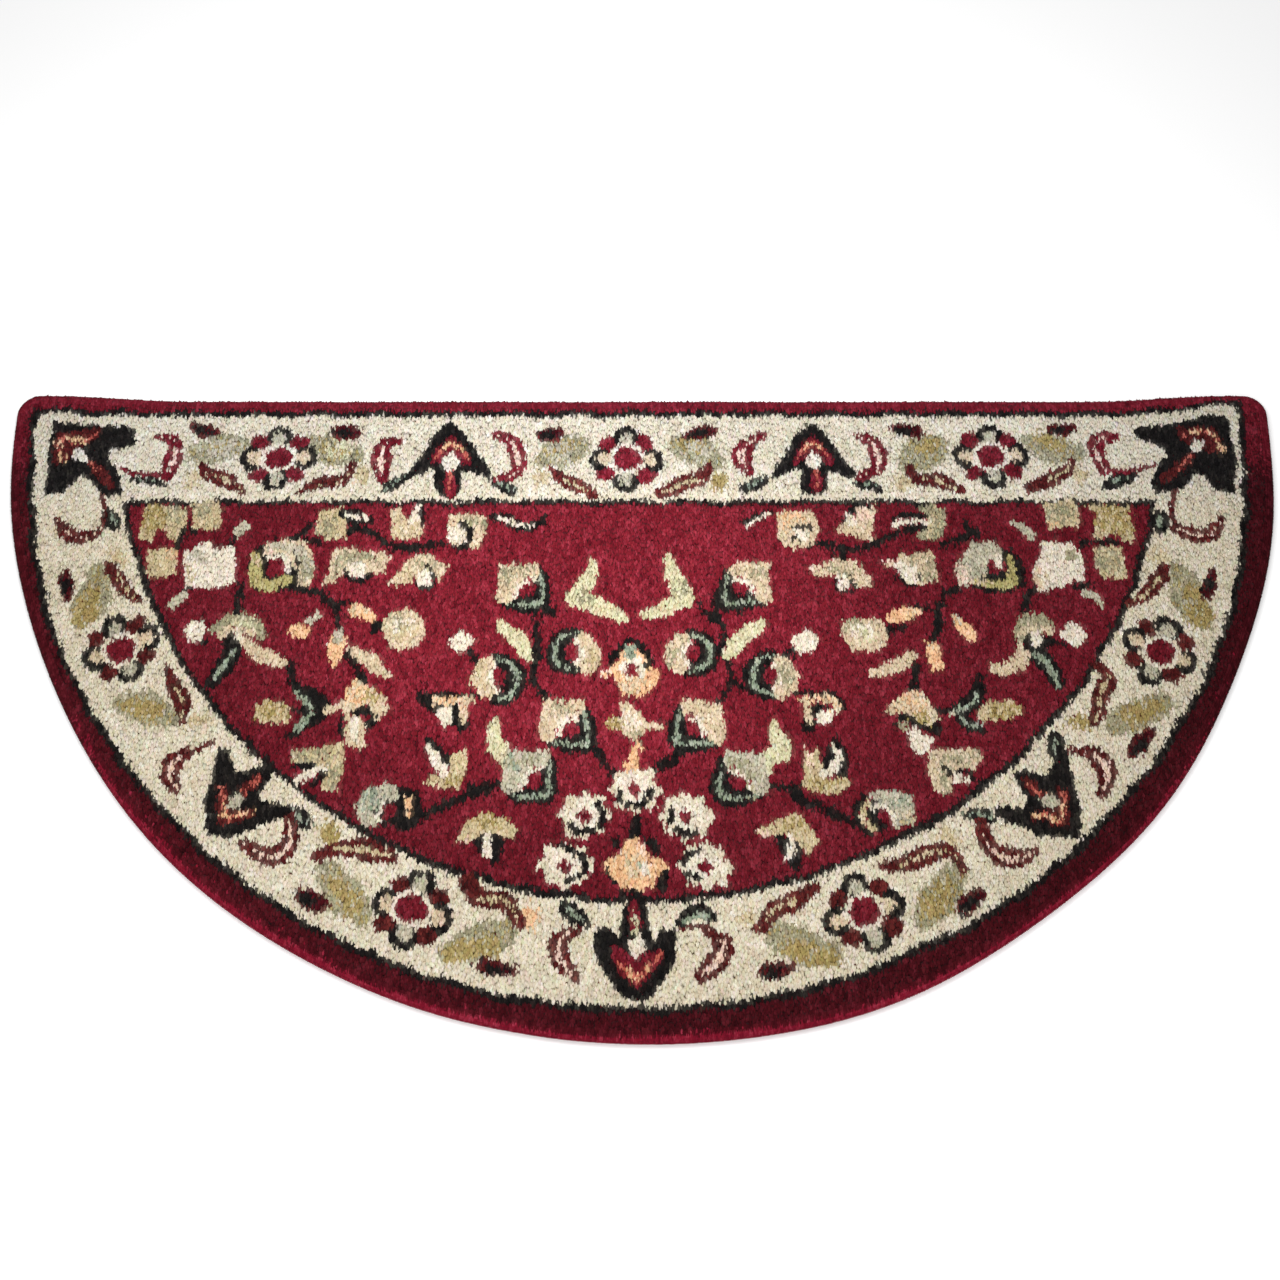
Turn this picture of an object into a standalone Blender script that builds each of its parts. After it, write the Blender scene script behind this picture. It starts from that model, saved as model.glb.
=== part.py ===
"""Half-round hearth rug: one tufted piece of cloth, flat underneath, with a soft rounded pile edge.

Metres, +Z up. The straight back edge faces +Y and the round front faces -Y. The origin is on the
floor, under the middle of the rug's box.
"""

import math

import bmesh
import bpy

# Driving sizes. A plan point is measured from the middle of the straight back edge, front towards -Y.
RADIUS = 0.559
PILE_TOP = 0.011
CORNER_RADIUS = 0.020

# How far the hand-finished outline strays from a true half circle.
CORNER_LIFT = 0.006
LIFT_START = 0.40
LIFT_END = 0.53
LIFT_DEPTH = 0.12
FRONT_DIP = 0.004
DIP_ANGLE = math.radians(-97)
DIP_SPREAD = math.radians(9)
RIPPLE = 0.0013
RIPPLE_LEFT = {"turns": 9.0, "peak": math.radians(-173)}
RIPPLE_RIGHT = {"turns": 12.6, "peak": math.radians(-13)}

# The pile surface is a little uneven, as a hand-clipped one is.
CLIP_WAVE = 0.00035
WAVE_LENGTH_X = 0.21
WAVE_LENGTH_Y = 0.16

# The rolled edge, from the underside up: inset from the outline, and height as a share of the whole.
EDGE_PROFILE = (
    {"inset": 0.0030, "height": 0.00},
    {"inset": 0.0010, "height": 0.20},
    {"inset": 0.0000, "height": 0.45},
    {"inset": 0.0006, "height": 0.66},
    {"inset": 0.0024, "height": 0.85},
    {"inset": 0.0056, "height": 0.96},
    {"inset": 0.0100, "height": 1.00},
)

# The plain bands round the rug, from the outside in. Each one ends at a smaller half round, drawn about
# a middle of its own: how far that lies inside the back edge, the radius of its front, and the yarn.
BAND_MIDDLE = {"middle_x": -0.004, "middle_y": 0.015}
BAND_CORNER_RADIUS = 0.008
BANDS = (
    {"back": 0.014, "radius": 0.5435, "yarn": "crimson_pile"},
    {"back": 0.018, "radius": 0.5385, "yarn": "black_pile"},
    {"back": 0.098, "radius": 0.4620, "yarn": "ivory_pile"},
    {"back": 0.103, "radius": 0.4565, "yarn": "black_pile"},
    {"back": 0.138, "radius": 0.4150, "yarn": "crimson_pile"},
    {"back": 0.182, "radius": 0.3600, "yarn": "crimson_pile"},
    {"back": 0.222, "radius": 0.3050, "yarn": "crimson_pile"},
)

# Steps along the outline.
BACK_STEPS = 40
CORNER_STEPS = 6
FRONT_STEPS = 84

# Linear colour, roughness.
YARNS = {
    "crimson_pile": ((0.250, 0.012, 0.030), 0.95),
    "ivory_pile": ((0.640, 0.570, 0.420), 0.95),
    "black_pile": ((0.010, 0.012, 0.014), 0.95),
    "ground_cloth": ((0.520, 0.440, 0.320), 0.90),
}


def clear_scene():
    for obj in list(bpy.data.objects):
        bpy.data.objects.remove(obj, do_unlink=True)


def smooth_step(value):
    value = min(max(value, 0.0), 1.0)
    return value * value * (3 - 2 * value)


def settle(x, y):
    """Moves a point of the true half circle to where it lies on the hand-finished rug."""
    reach = math.hypot(x, y) / RADIUS
    angle = math.atan2(y, x)
    dip = FRONT_DIP * math.exp(-(((angle - DIP_ANGLE) / DIP_SPREAD) ** 2))
    left, right = (
        RIPPLE * math.cos(side["turns"] * (angle - side["peak"])) for side in (RIPPLE_LEFT, RIPPLE_RIGHT)
    )
    to_right = smooth_step((angle - DIP_ANGLE) / DIP_SPREAD + 0.5)
    ripple = left + (right - left) * to_right
    in_front = smooth_step(-y / LIFT_DEPTH)
    scale = 1 + reach**2 * in_front * (ripple - dip) / RADIUS
    lift = CORNER_LIFT * smooth_step((abs(x) - LIFT_START) / (LIFT_END - LIFT_START))
    lift *= smooth_step(1 + y / LIFT_DEPTH)
    return x * scale, y * scale + lift


def half_round(back, radius, corner, middle_x=0.0, middle_y=0.0):
    """A half circle cut off straight along its back, with rounded corners.

    back is how far its straight side lies inside the rug's back edge, and the front arc is drawn about
    the given middle. The points run clockwise from the left end of the straight side.
    """
    corner_y = -back - corner - middle_y
    corner_x = math.sqrt((radius - corner) ** 2 - corner_y**2)
    side_angle = math.atan2(corner_y, corner_x)
    points = []
    for step in range(BACK_STEPS):
        points.append((corner_x * (2 * step / BACK_STEPS - 1), corner_y + corner))
    for step in range(CORNER_STEPS):
        turn = math.pi / 2 + (side_angle - math.pi / 2) * step / CORNER_STEPS
        points.append((corner_x + corner * math.cos(turn), corner_y + corner * math.sin(turn)))
    for step in range(FRONT_STEPS):
        turn = side_angle - (math.pi + 2 * side_angle) * step / FRONT_STEPS
        points.append((radius * math.cos(turn), radius * math.sin(turn)))
    for step in range(CORNER_STEPS):
        turn = -math.pi - side_angle + (side_angle - math.pi / 2) * step / CORNER_STEPS
        points.append((-corner_x + corner * math.cos(turn), corner_y + corner * math.sin(turn)))
    return [settle(x + middle_x, y + middle_y) for x, y in points]


def edge_ring(inset):
    """The rug's own outline, this far inside its edge."""
    return half_round(inset, RADIUS - inset, CORNER_RADIUS - inset)


def clip_wave(x, y):
    """Height that the clipping leaves over or under the mean pile."""
    along = math.sin(2 * math.pi * x / WAVE_LENGTH_X)
    across = math.cos(2 * math.pi * y / WAVE_LENGTH_Y)
    return CLIP_WAVE * along * across


def plan_centre():
    """The middle of the outline's box, which the part's origin lies under."""
    edge = edge_ring(0)
    xs = [x for x, _ in edge]
    ys = [y for _, y in edge]
    return (min(xs) + max(xs)) / 2, (min(ys) + max(ys)) / 2


def add_ring(mesh, points, height, waviness, centre):
    """One closed ring of vertices, where waviness says how much of the clipping it shows."""
    ring = []
    for x, y in points:
        z = height + waviness * clip_wave(x, y)
        ring.append(mesh.verts.new((x - centre[0], y - centre[1], z)))
    return ring


def bridge(mesh, lower, upper, material_index):
    """The strip between two rings, whose points run clockwise seen from above."""
    count = len(lower)
    for index in range(count):
        following = (index + 1) % count
        corners = (lower[following], lower[index], upper[index], upper[following])
        face = mesh.faces.new(corners)
        face.material_index = material_index
        face.smooth = True


def make_material(name):
    colour, roughness = YARNS[name]
    material = bpy.data.materials.new(name)
    material.use_nodes = True
    shader = material.node_tree.nodes["Principled BSDF"]
    shader.inputs["Base Color"].default_value = (*colour, 1)
    shader.inputs["Roughness"].default_value = roughness
    shader.inputs["Metallic"].default_value = 0
    return material


def make_rug():
    """The rug as one closed solid: underside, rolled edge, banded border and field."""
    names = list(YARNS)
    centre = plan_centre()
    mesh = bmesh.new()
    rings = []
    for row in EDGE_PROFILE:
        waviness = smooth_step(2 * row["height"] - 1)
        points = edge_ring(row["inset"])
        rings.append(add_ring(mesh, points, PILE_TOP * row["height"], waviness, centre))
    for lower, upper in zip(rings, rings[1:]):
        bridge(mesh, lower, upper, names.index("crimson_pile"))
    last = rings[-1]
    for band in BANDS:
        points = half_round(band["back"], band["radius"], BAND_CORNER_RADIUS, **BAND_MIDDLE)
        ring = add_ring(mesh, points, PILE_TOP, 1, centre)
        bridge(mesh, last, ring, names.index(band["yarn"]))
        last = ring
    field = mesh.faces.new(list(reversed(last)))
    field.material_index = names.index("crimson_pile")
    underside = mesh.faces.new(rings[0])
    underside.material_index = names.index("ground_cloth")
    bmesh.ops.triangulate(mesh, faces=[field, underside])
    bmesh.ops.recalc_face_normals(mesh, faces=mesh.faces)
    data = bpy.data.meshes.new("rug")
    mesh.to_mesh(data)
    mesh.free()
    data.set_sharp_from_angle(angle=math.radians(40))
    for name in names:
        data.materials.append(make_material(name))
    rug = bpy.data.objects.new("rug", data)
    bpy.context.scene.collection.objects.link(rug)
    return rug


clear_scene()
make_rug()
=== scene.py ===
import math

import bpy
import numpy as np
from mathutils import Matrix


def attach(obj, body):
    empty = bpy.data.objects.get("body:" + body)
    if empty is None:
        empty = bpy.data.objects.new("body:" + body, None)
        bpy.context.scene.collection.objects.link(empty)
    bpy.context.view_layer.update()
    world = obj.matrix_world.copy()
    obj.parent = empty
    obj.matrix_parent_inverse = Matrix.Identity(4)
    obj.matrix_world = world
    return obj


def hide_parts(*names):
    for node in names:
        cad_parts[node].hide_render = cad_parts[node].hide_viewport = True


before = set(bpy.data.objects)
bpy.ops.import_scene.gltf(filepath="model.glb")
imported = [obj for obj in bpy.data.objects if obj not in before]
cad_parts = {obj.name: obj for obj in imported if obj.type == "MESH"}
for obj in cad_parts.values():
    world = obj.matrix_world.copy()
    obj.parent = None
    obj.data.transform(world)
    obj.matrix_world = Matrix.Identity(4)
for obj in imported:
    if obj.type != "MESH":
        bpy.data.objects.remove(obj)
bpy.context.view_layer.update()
print("frame loaded")

# Everything on the rug is laid out in mm from the middle of its straight back edge: x to the right, y
# towards the back, so the round front lies at negative y.
mm = 0.001
dice = np.random.default_rng(1118)

rugForm = {
    "radius": 559.0,
    "pileTop": 11.0,
    "cornerRadius": 20.0,
    "leastCorner": 2.0,  # further inside the outline no corner is tighter than this
    "cornerLift": 6.0,  # the two back corners lie a little out of line
    "liftFrom": 400.0,
    "liftTo": 530.0,
    "liftDepth": 120.0,
    "frontDip": 4.0,  # the front is a little flat here
    "dipAngle": math.radians(-97),
    "dipSpread": math.radians(9),
    "ripple": 1.3,  # the cut edge is a little wavy: waves in a full turn, and where one of them peaks
    "leftTurns": 9.0,
    "leftPeak": math.radians(-173),
    "rightTurns": 12.6,
    "rightPeak": math.radians(-13),
    "clipWave": 0.35,  # the shears leave the pile a little uneven
    "waveX": 210.0,
    "waveY": 160.0,
    # rolled edge from the floor up: how far inside the outline, and how high
    "edge": ((3.0, 0.0), (1.0, 2.2), (0.0, 4.95), (0.6, 7.26), (2.4, 9.35), (5.6, 10.56), (10.0, 11.0)),
    # points along the back, each corner and the front before they are spaced evenly
    "backPoints": 600,
    "cornerPoints": 40,
    "frontPoints": 1400,
}


def smoothStep(value):
    value = np.clip(value, 0.0, 1.0)
    return value * value * (3 - 2 * value)


def settle(spots):
    # from the true half circle to the hand-finished outline
    x, y = spots[:, 0], spots[:, 1]
    reach = np.hypot(x, y) / rugForm["radius"]
    angle = np.arctan2(y, x)
    offDip = (angle - rugForm["dipAngle"]) / rugForm["dipSpread"]
    dip = rugForm["frontDip"] * np.exp(-offDip**2)
    left = rugForm["ripple"] * np.cos(rugForm["leftTurns"] * (angle - rugForm["leftPeak"]))
    right = rugForm["ripple"] * np.cos(rugForm["rightTurns"] * (angle - rugForm["rightPeak"]))
    ripple = left + (right - left) * smoothStep(offDip + 0.5)  # one side gives way to the other at the dip
    inFront = smoothStep(-y / rugForm["liftDepth"])
    scale = 1 + reach**2 * inFront * (ripple - dip) / rugForm["radius"]
    lift = smoothStep((np.abs(x) - rugForm["liftFrom"]) / (rugForm["liftTo"] - rugForm["liftFrom"]))
    lift = lift * rugForm["cornerLift"] * smoothStep(1 + y / rugForm["liftDepth"])
    return np.stack([x * scale, y * scale + lift], 1)


def clipHeight(spots):
    along = np.sin(2 * math.pi * spots[:, 0] / rugForm["waveX"])
    across = np.cos(2 * math.pi * spots[:, 1] / rugForm["waveY"])
    return rugForm["clipWave"] * along * across


def cornerOf(inset):
    # middle of the right corner's arc, its radius, and where the round front takes over
    radius = rugForm["radius"] - inset
    corner = max(rugForm["cornerRadius"] - inset, rugForm["leastCorner"])
    cornerY = -inset - corner
    cornerX = math.sqrt((radius - corner) ** 2 - cornerY**2)
    return cornerX, cornerY, corner, math.atan2(cornerY, cornerX)


def evenly(start, stop, count):
    return np.linspace(start, stop, count, endpoint=False)


def arc(middle, radius, angles):
    return np.stack([middle[0] + radius * np.cos(angles), middle[1] + radius * np.sin(angles)], 1)


def outlineRing(inset, step):
    # points along the rug's outline this far inside it, a step apart, and the way out at each
    cornerX, cornerY, corner, side = cornerOf(inset)
    radius = rugForm["radius"] - inset
    back = evenly(-cornerX, cornerX, rugForm["backPoints"])
    turn = evenly(math.pi / 2, side, rugForm["cornerPoints"])
    front = evenly(side, -math.pi - side, rugForm["frontPoints"])
    endTurn = evenly(-math.pi - side, -1.5 * math.pi, rugForm["cornerPoints"])
    parts = [
        np.stack([back, np.full_like(back, cornerY + corner)], 1),
        arc((cornerX, cornerY), corner, turn),
        arc((0, 0), radius, front),
        arc((-cornerX, cornerY), corner, endTurn),
    ]
    ring = settle(np.concatenate(parts))
    closed = np.concatenate([ring, ring[:1]])
    walked = np.concatenate([[0], np.cumsum(np.hypot(*np.diff(closed, axis=0).T))])
    count = int(round(walked[-1] / step))
    stops = np.arange(count) * walked[-1] / count
    spots = np.stack([np.interp(stops, walked, closed[:, k]) for k in (0, 1)], 1)
    ahead = np.roll(spots, -1, 0) - np.roll(spots, 1, 0)
    outward = np.stack([-ahead[:, 1], ahead[:, 0]], 1)
    outward /= np.hypot(*outward.T)[:, None]
    return spots, outward


plan, _ = outlineRing(0, step=2.0)
planMiddle = (plan.min(0) + plan.max(0)) / 2


def placed(spots, heights):
    # plan points and heights in mm to the frame in metres
    return np.stack([spots[:, 0] - planMiddle[0], spots[:, 1] - planMiddle[1], heights], 1) * mm


yarns = {
    # dull, usual and bright dye of each yarn in sRGB, and the finish in the record that it belongs to
    "crimson": ((86, 12, 24), (131, 32, 45), (175, 61, 77), "crimson_pile"),
    # a dark red yarn in the flecks, and painted shade in the plain band round the front
    "wineAndBandShade": ((48, 8, 14), (88, 20, 29), (126, 40, 52), "crimson_pile"),
    "madder": ((56, 18, 18), (102, 36, 36), (150, 66, 62), "crimson_pile"),
    # painted highlight: the lit red of the rolled edge at the front
    "rimHighlight": ((96, 12, 30), (138, 24, 46), (180, 62, 82), "crimson_pile"),
    "ivory": ((196, 184, 156), (222, 211, 187), (244, 237, 222), "ivory_pile"),
    "white": ((202, 190, 168), (231, 220, 201), (250, 242, 230), "ivory_pile"),
    "cream": ((180, 160, 130), (213, 193, 162), (240, 224, 201), "ivory_pile"),
    "black": ((10, 9, 10), (28, 25, 24), (56, 51, 47), "black_pile"),
    "sage": ((124, 119, 94), (161, 154, 124), (196, 190, 160), "sage_pile"),
    "ash": ((152, 145, 124), (190, 183, 160), (222, 214, 194), "sage_pile"),
    "leaf": ((176, 170, 132), (214, 207, 170), (236, 231, 204), "sage_pile"),
    "mint": ((104, 118, 98), (148, 158, 137), (192, 200, 180), "mint_pile"),
    "gold": ((132, 112, 62), (168, 147, 92), (200, 182, 130), "gold_pile"),
    "straw": ((138, 127, 76), (178, 167, 110), (208, 198, 150), "gold_pile"),
    "tan": ((164, 146, 108), (203, 185, 146), (232, 218, 188), "tan_pile"),
    "peach": ((192, 146, 104), (234, 190, 146), (250, 218, 184), "peach_pile"),
    "pink": ((200, 166, 148), (236, 208, 188), (252, 230, 216), "peach_pile"),
    "coral": ((146, 56, 50), (190, 98, 84), (220, 140, 118), "coral_pile"),
}
yarnNames = list(yarns)
redYarns = ("crimson", "wineAndBandShade", "madder")
deepYarns = redYarns + ("rimHighlight", "black")

# The pattern is charted in mm. Each yarn end takes the dye of the last shape that its root
# stands in, as the shapes are drawn one over another.
chart = {}
charting = {
    # no hand-drawn line is quite even: the mm that it sways and shivers by, and the runs that this takes
    "across": {"sway": 0.9, "run": 8.3, "wander": 1.7, "wanderRun": 21, "shiver": 0.6, "runs": (5.1, 6.7)},
    "along": {"sway": 0.9, "run": 9.1, "wander": 1.4, "wanderRun": 17, "shiver": 0.6, "runs": (4.9, -7.3)},
    "motifReach": 60.0,  # the yarn ends tried for a motif, a petal or a stroke lie this near to it
    "petalReach": 35.0,
    "strokeReach": 25.0,
    "bendSteps": 6,
    "petal": {"lobes": 4, "depth": 0.8, "phase": 45},
    "mixedShare": 0.62,  # of the yarn ends can take a breath of another yarn
    "breathSpread": 1.2,
    "breathBlur": 2.4,
    "farOff": 1e6,
}


def uneven(own, other, line):
    sway = line["sway"] * np.sin(other / line["run"] + line["wander"] * np.sin(own / line["wanderRun"]))
    shiver = line["shiver"] * np.sin(own / line["runs"][0] + other / line["runs"][1])
    return own + sway + shiver


def startChart(roots):
    x, y = roots[:, 0], roots[:, 1]
    chart["x"] = uneven(x, y, charting["across"])
    chart["y"] = uneven(y, x, charting["along"])
    chart["stray"] = dice.normal(0, 1, len(roots))
    chart["mixed"] = dice.uniform(0, 1, len(roots)) < charting["mixedShare"]
    chart["yarn"] = np.full(len(roots), yarnNames.index("crimson"))


def dyedWith(names, who=slice(None)):
    # which of the yarn ends have one of these yarns so far
    return np.isin(chart["yarn"][who], [yarnNames.index(name) for name in names])


def turned(u, v, turn):
    cos, sin = math.cos(math.radians(turn)), math.sin(math.radians(turn))
    return u * cos + v * sin, v * cos - u * sin


def near(at, turn=0.0, flips=(1, 1), reach=charting["motifReach"]):
    # the yarn ends round a motif, in the motif's own frame: u to its right, v to its top
    dx, dy = chart["x"] - at[0], chart["y"] - at[1]
    who = np.flatnonzero((np.abs(dx) < reach) & (np.abs(dy) < reach))
    u, v = turned(dx[who] * flips[0], dy[who] * flips[1], turn)
    return {"who": who, "u": u, "v": v}


def around(points):
    # the yarn ends round some points, in the rug's frame
    low = np.min(points, 0) - charting["strokeReach"]
    high = np.max(points, 0) + charting["strokeReach"]
    inX = (chart["x"] > low[0]) & (chart["x"] < high[0])
    who = np.flatnonzero(inX & (chart["y"] > low[1]) & (chart["y"] < high[1]))
    return {"who": who, "u": chart["x"][who], "v": chart["y"][who]}


def dye(spot, away, yarn, blur=0.5):
    # blur is how many mm a shape's edge strays from one yarn end to the next
    inside = away + blur * chart["stray"][spot["who"]] < 0
    chart["yarn"][spot["who"][inside]] = yarnNames.index(yarn)


def oval(spot, middle, size, turn=0.0, lobes=0, depth=0.0, phase=90.0):
    across, along = turned(spot["u"] - middle[0], spot["v"] - middle[1], turn)
    away = (np.hypot(across * 2 / size[0], along * 2 / size[1]) - 1) * min(size) / 2
    if lobes:
        away = away - depth * np.cos(lobes * (np.arctan2(along, across) - math.radians(phase)))
    return away


def bend(points):
    # a smooth run through the points
    run = np.array([points[0], *points, points[-1]], float)
    out = []
    for before, start, end, after in zip(run, run[1:], run[2:], run[3:]):
        for share in np.arange(charting["bendSteps"]) / charting["bendSteps"]:
            toEnd = share * share * (3 - 2 * share)
            leave = share * (1 - share) ** 2 * (end - before) / 2
            arrive = share * share * (share - 1) * (after - start) / 2
            out.append(start + toEnd * (end - start) + leave + arrive)
    out.append(run[-1])
    return np.array(out)


def stroke(spot, points, widths):
    # widths are spread evenly along the stroke
    path = bend(points)
    steps = np.hypot(*np.diff(path, axis=0).T)
    along = np.concatenate([[0], np.cumsum(steps)]) / steps.sum()
    widths = np.atleast_1d(widths)
    half = np.interp(along, np.linspace(0, 1, len(widths)), widths) / 2
    away = np.full(len(spot["u"]), charting["farOff"])
    for k, (toU, toV) in enumerate(np.diff(path, axis=0)):
        u, v = spot["u"] - path[k, 0], spot["v"] - path[k, 1]
        share = np.clip((u * toU + v * toV) / (toU**2 + toV**2 + 1e-9), 0, 1)  # never divided by nothing
        width = half[k] + (half[k + 1] - half[k]) * share
        away = np.minimum(away, np.hypot(u - share * toU, v - share * toV) - width)
    return away


def patch(spot, corners):
    # a shape with straight sides
    u, v = spot["u"], spot["v"]
    away = np.full(len(u), charting["farOff"])
    inside = np.zeros(len(u), bool)
    for (ax, ay), (bx, by) in zip(corners, corners[1:] + corners[:1]):
        toU, toV = bx - ax, by - ay
        share = np.clip(((u - ax) * toU + (v - ay) * toV) / (toU**2 + toV**2), 0, 1)
        away = np.minimum(away, np.hypot(u - ax - share * toU, v - ay - share * toV))
        crosses = (ay > v) != (by > v)
        inside ^= crosses & (u - ax < (v - ay) * toU / (toV or 1.0))
    return np.where(inside, -away, away)


def bothSides(half):
    # half a shape, drawn down its right side, with its left side added
    return half + [(-u, v) for u, v in reversed(half) if u]


def draw(rows, blur=0.7):
    # a row is (yarn, middle, size, turn) for an oval petal, (yarn, points, widths) for a stroke, and
    # (yarn, corners) for a patch
    for yarn, where, *rest in rows:
        if isinstance(where, list):
            spot = around(where)
            away = stroke(spot, where, *rest) if rest else patch(spot, where)
        else:
            spot = near(where, reach=charting["petalReach"])
            away = oval(spot, (0, 0), *rest, **charting["petal"])
        dye(spot, away, yarn, blur)


def breathe(yarn, middle, size):
    # a soft breath of another yarn, mixed into what is already pale
    spot = near(middle, reach=charting["petalReach"])
    away = oval(spot, (0, 0), np.multiply(size, charting["breathSpread"]))
    kept = dyedWith(deepYarns, spot["who"]) | ~chart["mixed"][spot["who"]]
    dye(spot, np.where(kept, charting["farOff"], away), yarn, charting["breathBlur"])


border = {
    "middle": (-2.5, 12.5),  # the border's arcs are drawn about a middle of their own
    "rings": (
        # yarn, how far inside the back edge it starts, the radius where it starts, and whether its back
        # line rises and its arc is drawn in towards the back corners
        ("black", -13.0, 547.2, True),
        ("ivory", -18.2, 541.6, True),
        ("black", -101.2, 464.0, False),
        ("crimson", -105.6, 458.4, False),
    ),
    "blur": 0.9,
    "lift": (3.0, 12.0),  # how far the back lines rise to the left and right corners
    "liftFrom": 420,
    "liftOver": 100,
    "liftBend": 1.5,
    "draw": (5.0, 8.0),  # how far the outer arc is drawn in beside them
    "drawFrom": -200,
    "drawOver": 140,
    # painted shade: the plain band is darker round the front than along the back
    "wineAndBandShade": {"front": -66.0, "blur": 9},
    # but for the rolled edge at the front: beyond this radius and below this height, which has a painted
    # highlight where the light catches it
    "rimHighlight": {"front": -330.0, "blur": 30, "rim": 547.0, "top": 10.2, "topBlur": 0.25},
    "livelyTo": -110.0,  # the small reds are livelier behind this line
}


def drawBands(heights):
    x, y, stray = chart["x"], chart["y"], chart["stray"]
    wineAndBandShade, rimHighlight = border["wineAndBandShade"], border["rimHighlight"]
    # painted shade: the plain band round the front takes the darker red
    chart["yarn"][y + wineAndBandShade["blur"] * stray < wineAndBandShade["front"]] = yarnNames.index("wineAndBandShade")
    # painted highlight on the rolled edge at the front
    rolled = (y + rimHighlight["blur"] * stray < rimHighlight["front"]) & (np.hypot(x, y) > rimHighlight["rim"])
    rolled &= heights + rimHighlight["topBlur"] * stray < rimHighlight["top"]
    chart["yarn"][rolled] = yarnNames.index("rimHighlight")
    reach = np.hypot(x - border["middle"][0], y - border["middle"][1])
    right = (x > 0).astype(int)
    toCorner = np.clip((np.abs(x) - border["liftFrom"]) / border["liftOver"], 0, 1)
    lift = np.array(border["lift"])[right] * toCorner ** border["liftBend"]
    drawn = np.array(border["draw"])[right] * np.clip((y - border["drawFrom"]) / border["drawOver"], 0, 1)
    for yarn, back, radius, outer in border["rings"]:
        away = np.maximum(y - back - lift * outer, reach - radius + drawn * outer)
        chart["yarn"][away + border["blur"] * stray < 0] = yarnNames.index(yarn)


def redAt(at):
    return "crimson" if at[1] > border["livelyTo"] else "madder"


# arrow-headed palmettes: where the white heart lies, which way the arrow points, and its kind
arrows = (
    {"at": (-169, -60), "turn": 0, "kind": "pointed"},
    {"at": (150, -60), "turn": 0, "kind": "pointed"},
    {"at": (-5, -487), "turn": 180, "kind": "blunt"},
)
# half of the black head, from its point to where the foot starts, half of the red inside it, the coral
# arms, half of the white heart, and the yarn of the tail's rib
arrowShapes = {
    "pointed": {
        "head": [(0, 37), (10, 28), (20, 13), (29, -2), (37, -15), (35, -19), (25, -18), (17, -12)],
        "red": [(0, 24), (9, 13), (18, 1), (18, -6), (10, -5), (5, 1), (0, 2)],
        "arms": [(-14, 0), (-7, 9), (0, 15), (8, 9), (15, 0)],
        "heart": [(0, 8), (4, 3), (9, -3), (8, -7), (0, -12)],
        "rib": "coral",
    },
    "blunt": {
        "head": [(0, 38), (8, 37), (15, 32), (23, 21), (28, 9), (32, -4), (33, -13), (30, -18), (20, -17),
                 (16, -10), (12, -9)],
        "red": [(0, 28), (7, 23), (12, 18), (20, 4), (18, -2), (9, 1), (0, 4)],
        "arms": [(-18, 2), (-9, 13), (0, 21), (7, 15), (14, 9)],
        "heart": [(0, 6), (5, 1), (7, -3), (5, -8), (0, -11)],
        "rib": "leaf",
    },
}
palmette = {
    "foot": [(12, -14), (11, -30), (6, -37), (0, -39)],
    "tail": ((1, -24), (11, 27)),
    "rib": [(1, -11), (1, -28)],
    "ribWidth": 2.4,
    "armWidths": (2, 4, 5, 4, 2),
    "glintWidth": 2.0,
    "squareReach": 95,
    "squareTail": (6, 10, 8),
    "squareRib": (3, 2),
}


def drawArrow(at, turn, kind):
    shapes = arrowShapes[kind]
    spot = near(at, turn)
    dye(spot, patch(spot, bothSides(shapes["head"] + palmette["foot"])), "black")
    dye(spot, patch(spot, bothSides(shapes["red"])), "crimson")
    dye(spot, stroke(spot, shapes["arms"], palmette["armWidths"]), "coral", blur=0.9)
    dye(spot, stroke(spot, shapes["arms"][1:4], palmette["glintWidth"]), "peach", blur=1.4)
    dye(spot, oval(spot, *palmette["tail"]), "crimson")
    dye(spot, stroke(spot, palmette["rib"], palmette["ribWidth"]), shapes["rib"], blur=1.4)
    dye(spot, patch(spot, bothSides(shapes["heart"])), "white")


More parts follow.
